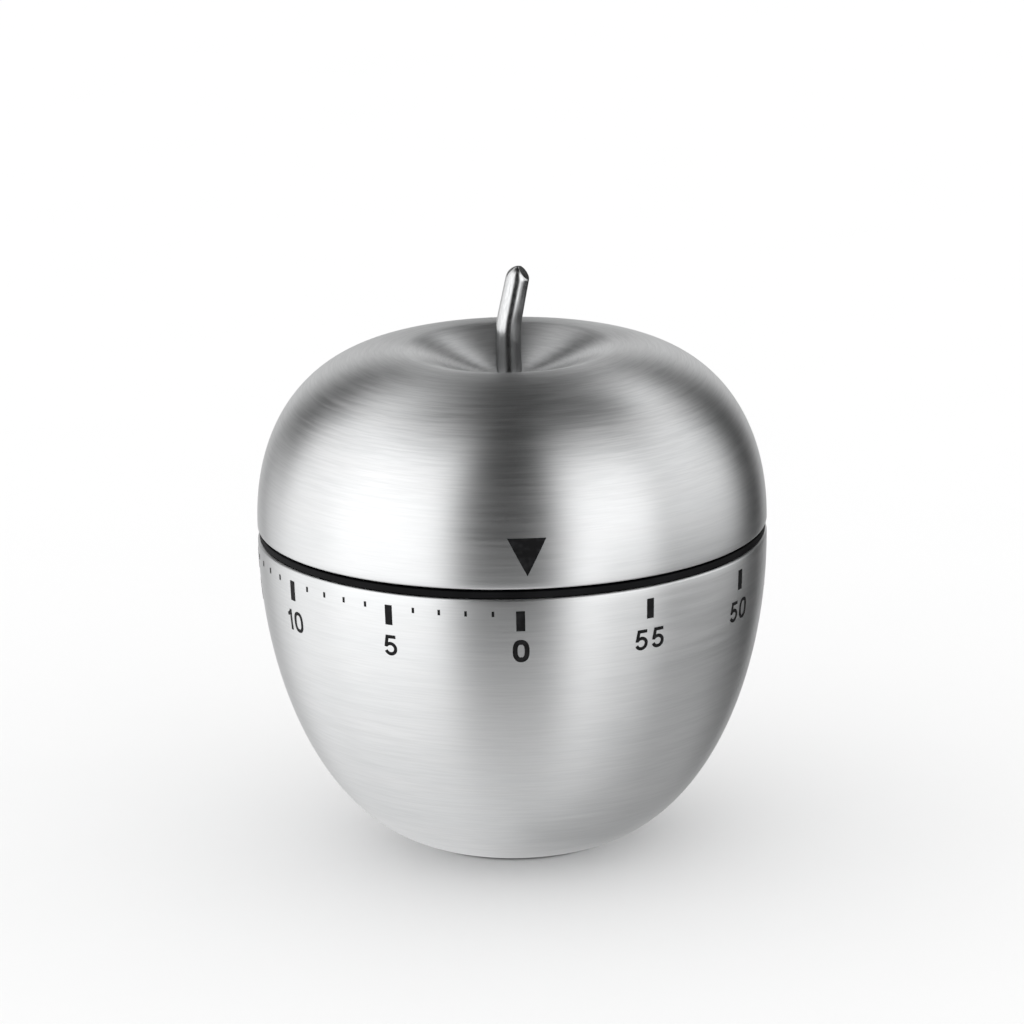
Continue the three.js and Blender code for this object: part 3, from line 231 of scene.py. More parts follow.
bowl_samples = bezier(BOWL_OUTLINE, OUTLINE_SAMPLES)
dome_samples = bezier(DOME_OUTLINE, OUTLINE_SAMPLES)


def surface_radius(samples, height):
    """Radius of a shell's outside at a height."""
    return float(np.interp(height, [p[1] for p in samples], [p[0] for p in samples]))


# ---------------------------------------------------------------- meshes
def make_object(name, vertices, faces, smooth_under=40):
    """An object at the origin from vertices in millimetres, with its faces turned outwards."""
    mesh = bpy.data.meshes.new(name)
    mesh.from_pydata([Vector(v) * MM for v in vertices], [], faces)
    mesh.validate()
    face_outwards(mesh)
    mesh.shade_smooth()
    mesh.set_sharp_from_angle(angle=math.radians(smooth_under))
    made = bpy.data.objects.new(name, mesh)
    bpy.context.scene.collection.objects.link(made)
    return made


def face_outwards(mesh):
    work = bmesh.new()
    work.from_mesh(mesh)
    bmesh.ops.recalc_face_normals(work, faces=work.faces)
    work.to_mesh(mesh)
    work.free()


def lathe(profile, segments=LATHE_SEGMENTS):
    """Vertices and faces of a closed (radius, height) outline turned about the dial's axis."""
    vertices, faces = [], []
    count = len(profile)
    for i in range(segments):
        angle = 2 * math.pi * i / segments
        across, along = math.cos(angle), math.sin(angle)
        vertices.extend((r * across, r * along, z) for r, z in profile)
        this, following = i * count, (i + 1) % segments * count
        for j in range(count):
            k = (j + 1) % count
            faces.append((this + j, following + j, following + k, this + k))
    return vertices, faces


def lathe_solid(profile, segments):
    """As lathe, for an open outline that starts and ends on the axis."""
    inner = profile[1:-1]
    vertices = [(0, 0, profile[0][1]), (0, 0, profile[-1][1])]
    faces = []
    count = len(inner)
    for i in range(segments):
        angle = 2 * math.pi * i / segments
        vertices.extend((r * math.cos(angle), r * math.sin(angle), z) for r, z in inner)
        this, following = 2 + i * count, 2 + (i + 1) % segments * count
        faces.append((0, following, this))
        faces.append((1, this + count - 1, following + count - 1))
        for j in range(count - 1):
            faces.append((this + j, following + j, following + j + 1, this + j + 1))
    return vertices, faces


def moved(vertices, x, y, z=0.0):
    return [(vx + x, vy + y, vz + z) for vx, vy, vz in vertices]


def cut(target, *tools):
    """Cuts the tools' shapes out of the target and removes them."""
    for tool in tools:
        modifier = target.modifiers.new("cut", "BOOLEAN")
        modifier.operation = "DIFFERENCE"
        modifier.solver = "EXACT"
        modifier.object = tool
    evaluated = target.evaluated_get(bpy.context.evaluated_depsgraph_get())
    mesh = bpy.data.meshes.new_from_object(evaluated)
    mesh.name = target.name
    target.modifiers.clear()
    target.data = mesh
    mesh.set_sharp_from_angle(angle=math.radians(30))
    for tool in tools:
        bpy.data.objects.remove(tool)


def piece(made, body, slot, material, *nodes):
    """Gives a piece its finish, its body and the CAD nodes that it stands for."""
    made.data.materials.clear()
    made.data.materials.append(material)
    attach(made, body)
    if nodes:
        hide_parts(*nodes)
    return made


# ---------------------------------------------------------------- node trees
class Tree:
    """Short calls for building one node tree."""

    def __init__(self, owner):
        owner.use_nodes = True
        self.tree = owner.node_tree
        self.tree.nodes.clear()

    def add(self, kind, inputs=None, **settings):
        node = self.tree.nodes.new(kind)
        for name, value in settings.items():
            setattr(node, name, value)
        for name, value in (inputs or {}).items():
            self.put(node.inputs[name], value)
        return node

    def put(self, socket, value):
        if isinstance(value, bpy.types.NodeSocket):
            self.tree.links.new(value, socket)
        else:
            socket.default_value = value

    def math(self, operation, *values):
        node = self.tree.nodes.new("ShaderNodeMath")
        node.operation = operation
        for socket, value in zip(node.inputs, values):
            self.put(socket, value)
        return node.outputs[0]

    def weigh(self, first, share, second, other_share):
        """Two values added up in the given shares."""
        first = self.math("MULTIPLY", first, share)
        return self.math("ADD", first, self.math("MULTIPLY", second, other_share))

    def smooth(self, value, low, high, start=0.0, end=1.0):
        """A soft step from start to end as the value goes from low to high."""
        node = self.add(
            "ShaderNodeMapRange",
            {"Value": value, "From Min": low, "From Max": high, "To Min": start, "To Max": end},
            interpolation_type="SMOOTHSTEP",
        )
        return node.outputs["Result"]

    def blend(self, factor, first, second):
        """A colour between two (red, green, blue) colours."""
        node = self.add("ShaderNodeMix", data_type="RGBA")
        self.put(node.inputs["Factor"], factor)
        for name, colour in (("A", first), ("B", second)):
            linked = isinstance(colour, bpy.types.NodeSocket)
            self.put(node.inputs[name], colour if linked else (*colour, 1))
        return node.outputs["Result"]

    def noise(self, vector, scale, detail=2.0, roughness=0.5, w=None):
        node = self.tree.nodes.new("ShaderNodeTexNoise")
        node.noise_dimensions = "3D" if w is None else "4D"
        self.put(node.inputs["Vector"], vector)
        if w is not None:
            self.put(node.inputs["W"], w)
        self.put(node.inputs["Scale"], scale)
        self.put(node.inputs["Detail"], detail)
        self.put(node.inputs["Roughness"], roughness)
        return node.outputs["Fac"]

    def own_place(self):
        """The piece's own coordinates, in metres."""
        return self.add("ShaderNodeTexCoord").outputs["Object"]

    def bump(self, height, distance, strength=1.0):
        """distance is the height in metres that a height of 1 stands for."""
        node = self.add(
            "ShaderNodeBump", {"Strength": strength, "Distance": distance, "Height": height}
        )
        return node.outputs["Normal"]

    def surface(self, **inputs):
        """The Principled shader and the output. An underscore in a name stands for a space."""
        shader = self.add("ShaderNodeBsdfPrincipled")
        for name, value in inputs.items():
            self.put(shader.inputs[name.replace("_", " ")], value)
        output = self.add("ShaderNodeOutputMaterial")
        self.tree.links.new(shader.outputs[0], output.inputs["Surface"])
        return shader


def new_material(name):
    material = bpy.data.materials.new(name)
    return material, Tree(material)


AXIS_MARGIN = 1e-5  # metres, so that nothing is divided by 0 on the axis
STREAK_ROUGHNESS = 0.55


def turned_streaks(tree, pitch, length, detail):
    """Noise drawn out along circles round the dial's axis, so it has no start or end.

    pitch is the spacing of the streaks across, in metres. length is how far one runs, in radians.
    """
    place = tree.add("ShaderNodeSeparateXYZ", {"Vector": tree.own_place()})
    x, y, z = place.outputs
    squares = tree.math("ADD", tree.math("MULTIPLY", x, x), tree.math("MULTIPLY", y, y))
    radius = tree.math("SQRT", squares)
    safe_radius = tree.math("MAXIMUM", radius, AXIS_MARGIN)
    around_x = tree.math("DIVIDE", tree.math("DIVIDE", x, safe_radius), length)
    around_y = tree.math("DIVIDE", tree.math("DIVIDE", y, safe_radius), length)
    spread = tree.add(
        "ShaderNodeCombineXYZ",
        {
            "X": tree.math("DIVIDE", radius, pitch),
            "Y": tree.math("DIVIDE", z, pitch),
            "Z": around_x,
        },
    )
    return tree.noise(spread.outputs[0], 1.0, detail, STREAK_ROUGHNESS, w=around_y)


# ---------------------------------------------------------------- finishes
def brushed_steel(name):
    """Stainless steel brushed in circles, so that its highlights spread up and down.

    The streaks stand out more on the dome's shoulder than lower down.
    """
    material, tree = new_material(name)
    coarse = turned_streaks(tree, pitch=0.00045, length=0.45, detail=2.0)
    fine = turned_streaks(tree, pitch=0.00018, length=0.16, detail=3.0)
    cloudy = turned_streaks(tree, pitch=0.004, length=0.9, detail=2.0)
    streaks = tree.weigh(coarse, 0.45, fine, 0.55)
    height = tree.add("ShaderNodeSeparateXYZ", {"Vector": tree.own_place()}).outputs["Z"]
    contrast = tree.smooth(height, 0.044, 0.058, 0.45, 1.0)
    shade = tree.math("SUBTRACT", tree.smooth(streaks, 0.36, 0.64), 0.5)
    shade = tree.math("ADD", tree.math("MULTIPLY", shade, contrast), 0.5)
    steel = tree.blend(shade, (0.72, 0.726, 0.73), (0.835, 0.84, 0.844))
    tint = tree.blend(tree.smooth(cloudy, 0.3, 0.7), (0.965, 0.97, 0.972), (1.0, 1.0, 1.0))
    product = tree.add("ShaderNodeMix", data_type="RGBA", blend_type="MULTIPLY")
    tree.put(product.inputs["Factor"], 1.0)
    tree.put(product.inputs["A"], steel)
    tree.put(product.inputs["B"], tint)
    roughness = tree.smooth(tree.weigh(cloudy, 0.5, coarse, 0.5), 0.35, 0.65, 0.35, 0.41)
    tangent = tree.add("ShaderNodeTangent", direction_type="RADIAL", axis="Z")
    tree.surface(
        Base_Color=product.outputs["Result"],
        Metallic=1.0,
        Roughness=roughness,
        Anisotropic=0.75,
        Anisotropic_Rotation=0.25,
        Tangent=tangent.outputs[0],
        Normal=tree.bump(streaks, 0.000012),
    )
    return material


def polished_steel(name):
    """Polished stem, with the faint lengthwise marks of drawn rod."""
    material, tree = new_material(name)
    place = tree.own_place()
    squeezed = tree.add("ShaderNodeMapping", {"Vector": place, "Scale": (9000, 9000, 260)})
    drawn = tree.noise(squeezed.outputs[0], 1.0, 3.0)
    mottled = tree.noise(place, 700.0, 2.0)
    colour = tree.blend(tree.smooth(drawn, 0.35, 0.65), (0.6, 0.605, 0.61), (0.7, 0.705, 0.71))
    tree.surface(
        Base_Color=colour,
        Metallic=1.0,
        Roughness=tree.smooth(mottled, 0.35, 0.65, 0.17, 0.24),
        Normal=tree.bump(drawn, 0.000004),
    )
    return material


def plated_steel(name):
    """Zinc-plated steel: softly spangled, dulled in places."""
    material, tree = new_material(name)
    place = tree.own_place()
    spangle = tree.noise(place, 900.0, 3.0)
    dulling = tree.noise(place, 220.0, 2.0)
    shine = tree.smooth(spangle, 0.35, 0.65)
    tree.surface(
        Base_Color=tree.blend(shine, (0.62, 0.63, 0.645), (0.74, 0.745, 0.74)),
        Metallic=1.0,
        Roughness=tree.smooth(dulling, 0.35, 0.65, 0.26, 0.4),
        Normal=tree.bump(spangle, 0.000004),
    )
    return material


def blued_steel(name):
    """Spring steel with its heat colour, from grey to straw blue."""
    material, tree = new_material(name)
    place = tree.own_place()
    heat = tree.noise(place, 260.0, 2.0)
    grain = tree.noise(place, 4000.0, 2.0)
    colour = tree.blend(tree.smooth(heat, 0.35, 0.65), (0.2, 0.25, 0.38), (0.42, 0.44, 0.48))
    tree.surface(
        Base_Color=colour,
        Metallic=1.0,
        Roughness=tree.smooth(grain, 0.3, 0.7, 0.25, 0.36),
        Normal=tree.bump(grain, 0.000003),
    )
    return material


def satin_brass(name):
    """Movement brass, rolled and lightly tarnished."""
    material, tree = new_material(name)
    place = tree.own_place()
    rolled = tree.add("ShaderNodeMapping", {"Vector": place, "Scale": (500, 9000, 500)})
    grain = tree.noise(rolled.outputs[0], 1.0, 2.0)
    tarnish = tree.noise(place, 150.0, 3.0)
    bright = tree.blend(tree.smooth(grain, 0.35, 0.65), (0.7, 0.54, 0.24), (0.8, 0.64, 0.33))
    dulled = tree.smooth(tarnish, 0.45, 0.75, 0.0, 0.5)
    tree.surface(
        Base_Color=tree.blend(dulled, bright, (0.5, 0.36, 0.16)),
        Metallic=1.0,
        Roughness=tree.smooth(tarnish, 0.35, 0.7, 0.24, 0.4),
        Normal=tree.bump(grain, 0.000003),
    )
    return material


def moulded_plastic(name):
    """Black plastic with a fine eroded mould texture."""
    material, tree = new_material(name)
    place = tree.own_place()
    grain = tree.noise(place, 5200.0, 2.0, 0.6)
    wear = tree.noise(place, 160.0, 2.0)
    worn = tree.smooth(wear, 0.35, 0.7)
    tree.surface(
        Base_Color=tree.blend(worn, (0.004, 0.004, 0.0045), (0.009, 0.009, 0.01)),
        Roughness=tree.smooth(wear, 0.3, 0.7, 0.5, 0.62),
        Specular_IOR_Level=0.08,
        Normal=tree.bump(grain, 0.000012),
    )
    return material


def pad_rubber(name):
    """Matte anti-slip rubber with a little bloom."""
    material, tree = new_material(name)
    place = tree.own_place()
    speckle = tree.noise(place, 3000.0, 3.0, 0.6)
    bloom = tree.noise(place, 240.0, 3.0)
    bloomed = tree.smooth(bloom, 0.45, 0.75)
    tree.surface(
        Base_Color=tree.blend(bloomed, (0.016, 0.016, 0.017), (0.034, 0.034, 0.036)),
        Roughness=tree.smooth(speckle, 0.3, 0.7, 0.72, 0.88),
        Specular_IOR_Level=0.3,
        Normal=tree.bump(speckle, 0.00003),
    )
    return material


def printed_ink(name):
    """Pad-printed black, slightly uneven."""
    material, tree = new_material(name)
    place = tree.own_place()
    cover = tree.noise(place, 1300.0, 3.0)
    thinned = tree.smooth(cover, 0.4, 0.7)
    tree.surface(
        Base_Color=tree.blend(thinned, (0.004, 0.004, 0.0045), (0.011, 0.011, 0.012)),
        Roughness=tree.smooth(cover, 0.3, 0.7, 0.5, 0.62),
        Specular_IOR_Level=0.16,
        Normal=tree.bump(cover, 0.000003),
    )
    return material


finishes = {
    "brushed_shell": brushed_steel("brushed_steel"),
    "polished_stem": polished_steel("polished_steel"),
    "plated_steel": plated_steel("zinc_plated_steel"),
    "spring_steel": blued_steel("blued_spring_steel"),
    "movement_brass": satin_brass("satin_brass"),
    "black_plastic": moulded_plastic("moulded_black_plastic"),
    "pad_rubber": pad_rubber("pad_rubber"),
}
ink = printed_ink("printed_ink")

for part in frame["record"]["subparts"]:
    node = frame["nodes"][part["node"]]
    node.data.materials.clear()
    node.data.materials.append(finishes[part["material_slot"]])


# ---------------------------------------------------------------- shells
def lower_shell_profile():
    """Bowl with a rounded rim, a folded edge at the foot, and the flange for the cover."""
    rim_radius = SHELL_WALL / 2
    rim_height = SEAM_HEIGHT - rim_radius
    rim_at = parameter_at(BOWL_OUTLINE, rim_height)
    flange_at = parameter_at(BOWL_OUTLINE, FLANGE_TOP + 0.9 * SHELL_WALL)
    outside = bezier(BOWL_OUTLINE, OUTLINE_STEPS, 0.0, rim_at)
    inside = inset(bezier(BOWL_OUTLINE, OUTLINE_STEPS, flange_at, rim_at), SHELL_WALL)
    rim_centre = (BODY_RADIUS - rim_radius, rim_height)
    rim = arc(rim_centre, (rim_radius, rim_radius), 0, 180, RIM_STEPS)
    fold = [(FOOT_FOLD_RADIUS, FLANGE_UNDERSIDE)]
    fold += [(FOOT_FOLD_RADIUS + out, FOOT_EDGE_HEIGHT + up) for out, up in FOLD_CORNER]
    flange = [(FLANGE_INNER_RADIUS, FLANGE_TOP), (FLANGE_INNER_RADIUS, FLANGE_UNDERSIDE)]
    return fold + outside + rim[1:-1] + inside[::-1] + flange


def upper_shell_profile():
    """Dome with a rolled rim, turned in at the top to the dimple and the stem's seat."""
    rim_radius = SHELL_WALL / 2
    rim_height = DOME_RIM + rim_radius
    rim_at = parameter_at(DOME_OUTLINE, rim_height)
    outside = bezier(DOME_OUTLINE, OUTLINE_STEPS, rim_at, 1.0)
    outside += bezier(DIMPLE_OUTLINE, OUTLINE_STEPS // 2)[1:]
    inside = inset(outside, SHELL_WALL)
    rim_centre = (BODY_RADIUS - rim_radius, rim_height)
    rim = arc(rim_centre, (rim_radius, rim_radius), 180, 360, RIM_STEPS)
    seat = [(STEM_BORE, DIMPLE_FLOOR), (STEM_BORE, DIMPLE_FLOOR - SHELL_WALL)]
    return rim[1:-1] + outside + seat + inside[::-1]


steel = finishes["brushed_shell"]
lower = make_object("lower_shell_skin", *lathe(lower_shell_profile()))
piece(lower, "base", "brushed_shell", steel, "lower_shell")
upper = make_object("upper_shell_skin", *lathe(upper_shell_profile()))
piece(upper, "dial", "brushed_shell", steel, "upper_shell")

band_profile = rounded(
    [
        (BAND_INNER_RADIUS, BAND_BOTTOM, 0),
        (BAND_OUTER_RADIUS, BAND_BOTTOM, BAND_EDGE),
        (BAND_OUTER_RADIUS, BAND_TOP, BAND_EDGE),
        (BAND_INNER_RADIUS, BAND_TOP, 0),
    ]
)
band = make_object("seam_band", *lathe(band_profile))
piece(band, "base", "black_plastic", finishes["black_plastic"])


# ---------------------------------------------------------------- stem
STEM_RINGS = 72
STEM_SIDES = 64
STEM_FIRST_RING = 0.02  # share of the length
STEM_FOOT_EDGE = (0.15, 0.04, 0.0)  # how far inside the rod its shoulder's rings lie
STEM_TAPER = 0.11
STEM_TAPER_START = 0.4  # share of the length
STEM_TIP_START = 11.75  # where the rounded end begins, from the rod's shoulder
STEM_TIP = 1.68  # length of the rounded end
STEM_TIP_POWER = 1.9
STEM_TIP_RINGS = 22
FACET_NORMAL = Vector((0.8, -0.3, 0.62)).normalized()
FACET_DISTANCE = 1.2  # from the middle of the rounded end
DIRECTION_STEP = 0.01  # share of the length over which the stem's direction is read
THREAD_PITCH = 0.45
THREAD_DEPTH = 0.14
THREAD_RINGS = 60


def hermite(rows, at):
    """A smooth curve through (position, value) rows."""
    last = len(rows) - 1
    slopes = []
    for i in range(len(rows)):
        before, after = rows[max(i - 1, 0)], rows[min(i + 1, last)]
        slopes.append((after[1] - before[1]) / (after[0] - before[0]))
    i = next((k for k in range(last) if at <= rows[k + 1][0]), last - 1)
    span = rows[i + 1][0] - rows[i][0]
    t = (at - rows[i][0]) / span
    return (
        (2 * t**3 - 3 * t**2 + 1) * rows[i][1]
        + (t**3 - 2 * t**2 + t) * span * slopes[i]
        + (3 * t**2 - 2 * t**3) * rows[i + 1][1]
        + (t**3 - t**2) * span * slopes[i + 1]
    )


def stem_centre(share):
    """Point on the stem's bent centre line and its direction."""

    def point(at):
        height = DIMPLE_FLOOR + STEM_GAP + STEM_LENGTH * at
        return Vector((STEM_LEAN * hermite(STEM_PATH, at), 0, height))

    direction = point(min(share + DIRECTION_STEP, 1)) - point(max(share - DIRECTION_STEP, 0))
    return point(share), direction.normalized()


def stem_radius(share):
    """The rod narrows a little above its bend."""
    along = max(share - STEM_TAPER_START, 0) / (1 - STEM_TAPER_START)
    return STEM_RADIUS - STEM_TAPER * along


def stem_mesh():
    """Threaded end, bent rod, and a rounded tip with an oblique flat."""
    vertices, faces = [], []
    sides = range(STEM_SIDES)

    def ring(centre, direction, radius_of):
        side = Vector((direction.z, 0, -direction.x))
        for k in sides:
            angle = 2 * math.pi * k / STEM_SIDES
            radius = radius_of(angle, centre.z)
            across, along = radius * math.cos(angle), radius * math.sin(angle)
            vertices.append(centre + side * across + Vector((0, along, 0)))

    def thread(angle, height):
        turn = (height / THREAD_PITCH - angle / (2 * math.pi)) % 1
        return STEM_THREAD_RADIUS - THREAD_DEPTH * abs(2 * turn - 1)

    up = Vector((0, 0, 1))
    thread_foot = DIMPLE_FLOOR - STEM_THREAD_LENGTH
    for i in range(THREAD_RINGS + 1):
        height = thread_foot + (STEM_THREAD_LENGTH + STEM_GAP) * i / THREAD_RINGS
        ring(Vector((0, 0, height)), up, thread)
    foot = Vector((0, 0, DIMPLE_FLOOR + STEM_GAP))
    for inside in STEM_FOOT_EDGE:
        lift = STEM_FOOT_EDGE[0] - inside
        ring(foot + up * lift, up, lambda angle, height, r=STEM_RADIUS - inside: r)
    body_share = STEM_TIP_START / STEM_LENGTH
    for i in range(1, STEM_RINGS + 1):
        share = STEM_FIRST_RING + (body_share - STEM_FIRST_RING) * i / STEM_RINGS
        centre, direction = stem_centre(share)
        ring(centre, direction, lambda angle, height, r=stem_radius(share): r)
    tip_centre, tip_direction = stem_centre(body_share)
    for i in range(1, STEM_TIP_RINGS):
        reach = math.sin(math.pi / 2 * i / STEM_TIP_RINGS)
        radius = stem_radius(body_share) * (1 - reach**STEM_TIP_POWER) ** (1 / STEM_TIP_POWER)
        centre = tip_centre + tip_direction * (STEM_TIP * reach)
        ring(centre, tip_direction, lambda angle, height, r=radius: r)
    for k in range(len(vertices)):
        over = (vertices[k] - tip_centre).dot(FACET_NORMAL) - FACET_DISTANCE
        if over > 0:
            vertices[k] = vertices[k] - FACET_NORMAL * over
    rings = len(vertices) // STEM_SIDES
    for i in range(rings - 1):
        for k in sides:
            n = (k + 1) % STEM_SIDES
            low, high = i * STEM_SIDES, (i + 1) * STEM_SIDES
            faces.append((low + k, low + n, high + n, high + k))
    faces.append(tuple(reversed(sides)))
    top = tip_centre + tip_direction * STEM_TIP
    over = (top - tip_centre).dot(FACET_NORMAL) - FACET_DISTANCE
    vertices.append(top - FACET_NORMAL * max(over, 0))
    last = (rings - 1) * STEM_SIDES
    for k in sides:
        faces.append((last + k, last + (k + 1) % STEM_SIDES, len(vertices) - 1))
    return vertices, faces


stem = make_object("stem_rod", *stem_mesh(), smooth_under=28)
piece(stem, "dial", "polished_stem", finishes["polished_stem"], "stem")

# ---------------------------------------------------------------- foot
PAD_GROOVES = (9.05, 9.85)
GROOVE_HALF_WIDTH = 0.13
GROOVE_DEPTH = 0.12
COVER_RIB_RADIUS = 3.4
COVER_RIB_HALF_WIDTH = 0.3
COVER_RIB_HEIGHT = 0.18
COUNTERBORE_CHAMFER = 0.12
CUT_BEYOND = 1  # how far a cutting shape reaches past what it cuts


def pad_profile():
    """Rubber ring with two fine grooves in the face that it stands on."""
    corners = [
        (PAD_OUTER_RADIUS, PAD_TOP, 0.05),
        (PAD_INNER_RADIUS, PAD_TOP, 0.05),
        (PAD_INNER_RADIUS, 0, 0.14),
    ]
    for groove in PAD_GROOVES:
        corners += [
            (groove - GROOVE_HALF_WIDTH, 0, 0.03),
            (groove - GROOVE_HALF_WIDTH * 0.6, GROOVE_DEPTH, 0.03),
            (groove + GROOVE_HALF_WIDTH * 0.6, GROOVE_DEPTH, 0.03),
            (groove + GROOVE_HALF_WIDTH, 0, 0.03),
        ]
    corners.append((PAD_OUTER_RADIUS, 0, 0.14))
    return rounded(corners)


def cover_profile():
    """Cover disc with the pad's groove and a low rib, from the axis below to the axis above."""
    groove_inner = PAD_INNER_RADIUS - PAD_GROOVE_GAP
    groove_outer = PAD_OUTER_RADIUS + PAD_GROOVE_GAP
    rib_inner = COVER_RIB_RADIUS - COVER_RIB_HALF_WIDTH
    rib_outer = COVER_RIB_RADIUS + COVER_RIB_HALF_WIDTH
    rib_face = COVER_FACE - COVER_RIB_HEIGHT
    corners = [
        (0, COVER_FACE, 0),
        (rib_inner, COVER_FACE, 0.06),
        (rib_inner + 0.08, rib_face, 0.06),
        (rib_outer - 0.08, rib_face, 0.06),
        (rib_outer, COVER_FACE, 0.06),
        (groove_inner, COVER_FACE, 0.06),
        (groove_inner, PAD_GROOVE_TOP, 0.04),
        (groove_outer, PAD_GROOVE_TOP, 0.04),
        (groove_outer, COVER_FACE, 0.06),
        (COVER_RADIUS, COVER_FACE, 0.12),
        (COVER_RADIUS, COVER_TOP, 0.06),
        (0, COVER_TOP, 0),
    ]
    return rounded(corners, 4)


def screw_places():
    for angle in SCREW_ANGLES:
        turn = math.radians(angle)
        yield SCREW_CIRCLE * math.cos(turn), SCREW_CIRCLE * math.sin(turn)


pad = make_object("foot_pad_ring", *lathe(pad_profile()))
piece(pad, "base", "pad_rubber", finishes["pad_rubber"], "foot_pad")

cover = make_object("base_cover_disc", *lathe_solid(cover_profile(), DISC_SEGMENTS))
counterbore_outline = [
    (0, -CUT_BEYOND),
    (COUNTERBORE_RADIUS + COUNTERBORE_CHAMFER, -CUT_BEYOND),
    (COUNTERBORE_RADIUS + COUNTERBORE_CHAMFER, COVER_FACE),
    (COUNTERBORE_RADIUS, COVER_FACE + COUNTERBORE_CHAMFER),
    (COUNTERBORE_RADIUS, COUNTERBORE_FLOOR),
    (SCREW_HOLE_RADIUS, COUNTERBORE_FLOOR),
    (SCREW_HOLE_RADIUS, COVER_TOP + CUT_BEYOND),
    (0, COVER_TOP + CUT_BEYOND),
]
bores = []
for x, y in screw_places():
    vertices, faces = lathe_solid(counterbore_outline, SCREW_SEGMENTS)
    bores.append(make_object("bore", moved(vertices, x, y), faces))
cut(cover, *bores)
piece(cover, "base", "black_plastic", finishes["black_plastic"], "base_cover")

CROSS_ARM = 0.95
CROSS_WIDTH = 0.34
CROSS_DEPTH = 0.5
CROSS_TAPER = 0.62
SCREW_PITCH = 0.6
SCREW_ROOT_SHARE = 0.78  # radius between the threads
SCREW_THREAD_START = 1.6
SCREW_POINT_LENGTH = 0.9
SCREW_FIRST_TURN = 25
SCREW_TURN_STEP = 47  # each screw stops where it is tight


def cross_arm(turn):
    """A tapered bar through the screw's axis, wide at the head's face."""
    vertices = []
    turned = Matrix.Rotation(turn, 3, "Z")
    mouth = (SCREW_HEAD_FACE - 0.1, 1.12)
    bottom = (SCREW_HEAD_FACE + CROSS_DEPTH, CROSS_TAPER)
    for height, share in (mouth, bottom):
        long, short = CROSS_ARM * share, CROSS_WIDTH / 2 * share
        for across, along in ((-long, -short), (long, -short), (long, short), (-long, short)):
            vertices.append(tuple(turned @ Vector((across, along, height))))
    faces = [(0, 1, 2, 3), (4, 5, 6, 7), (0, 1, 5, 4), (1, 2, 6, 5), (2, 3, 7, 6), (3, 0, 4, 7)]
    return vertices, faces


def screw_outline():
    """Pan head, threaded shank and point, from the axis at the head to the axis at the tip."""
    head = rounded(
        [
            (0, SCREW_HEAD_FACE, 0),
            (SCREW_HEAD_RADIUS, SCREW_HEAD_FACE, 0.3),
            (SCREW_HEAD_RADIUS, SCREW_HEAD_SEAT, 0.04),
            (SCREW_RADIUS, SCREW_HEAD_SEAT, 0),
            (0, SCREW_HEAD_SEAT, 0),
        ]
    )[:-1]
    root = SCREW_RADIUS * SCREW_ROOT_SHARE
    height = SCREW_THREAD_START
    shank = [(root, height)]
    while height + SCREW_PITCH < SCREW_TIP - SCREW_POINT_LENGTH:
        shank.append((SCREW_RADIUS, height + SCREW_PITCH * 0.35))
        shank.append((root, height + SCREW_PITCH))
        height += SCREW_PITCH
    return head + shank + [(0.12, SCREW_TIP - 0.02), (0, SCREW_TIP)]


for number, (x, y) in enumerate(screw_places(), start=1):
    screw = make_object(f"cover_screw_{number}", *lathe_solid(screw_outline(), SCREW_SEGMENTS))
    turn = math.radians(SCREW_FIRST_TURN + SCREW_TURN_STEP * number)
    arms = [make_object("arm", *cross_arm(turn + quarter)) for quarter in (0, math.pi / 2)]
    cut(screw, *arms)
    screw.data.transform(Matrix.Translation(Vector((x, y, 0)) * MM))
    piece(screw, "base", "plated_steel", finishes["plated_steel"], f"base_screw_{number}")


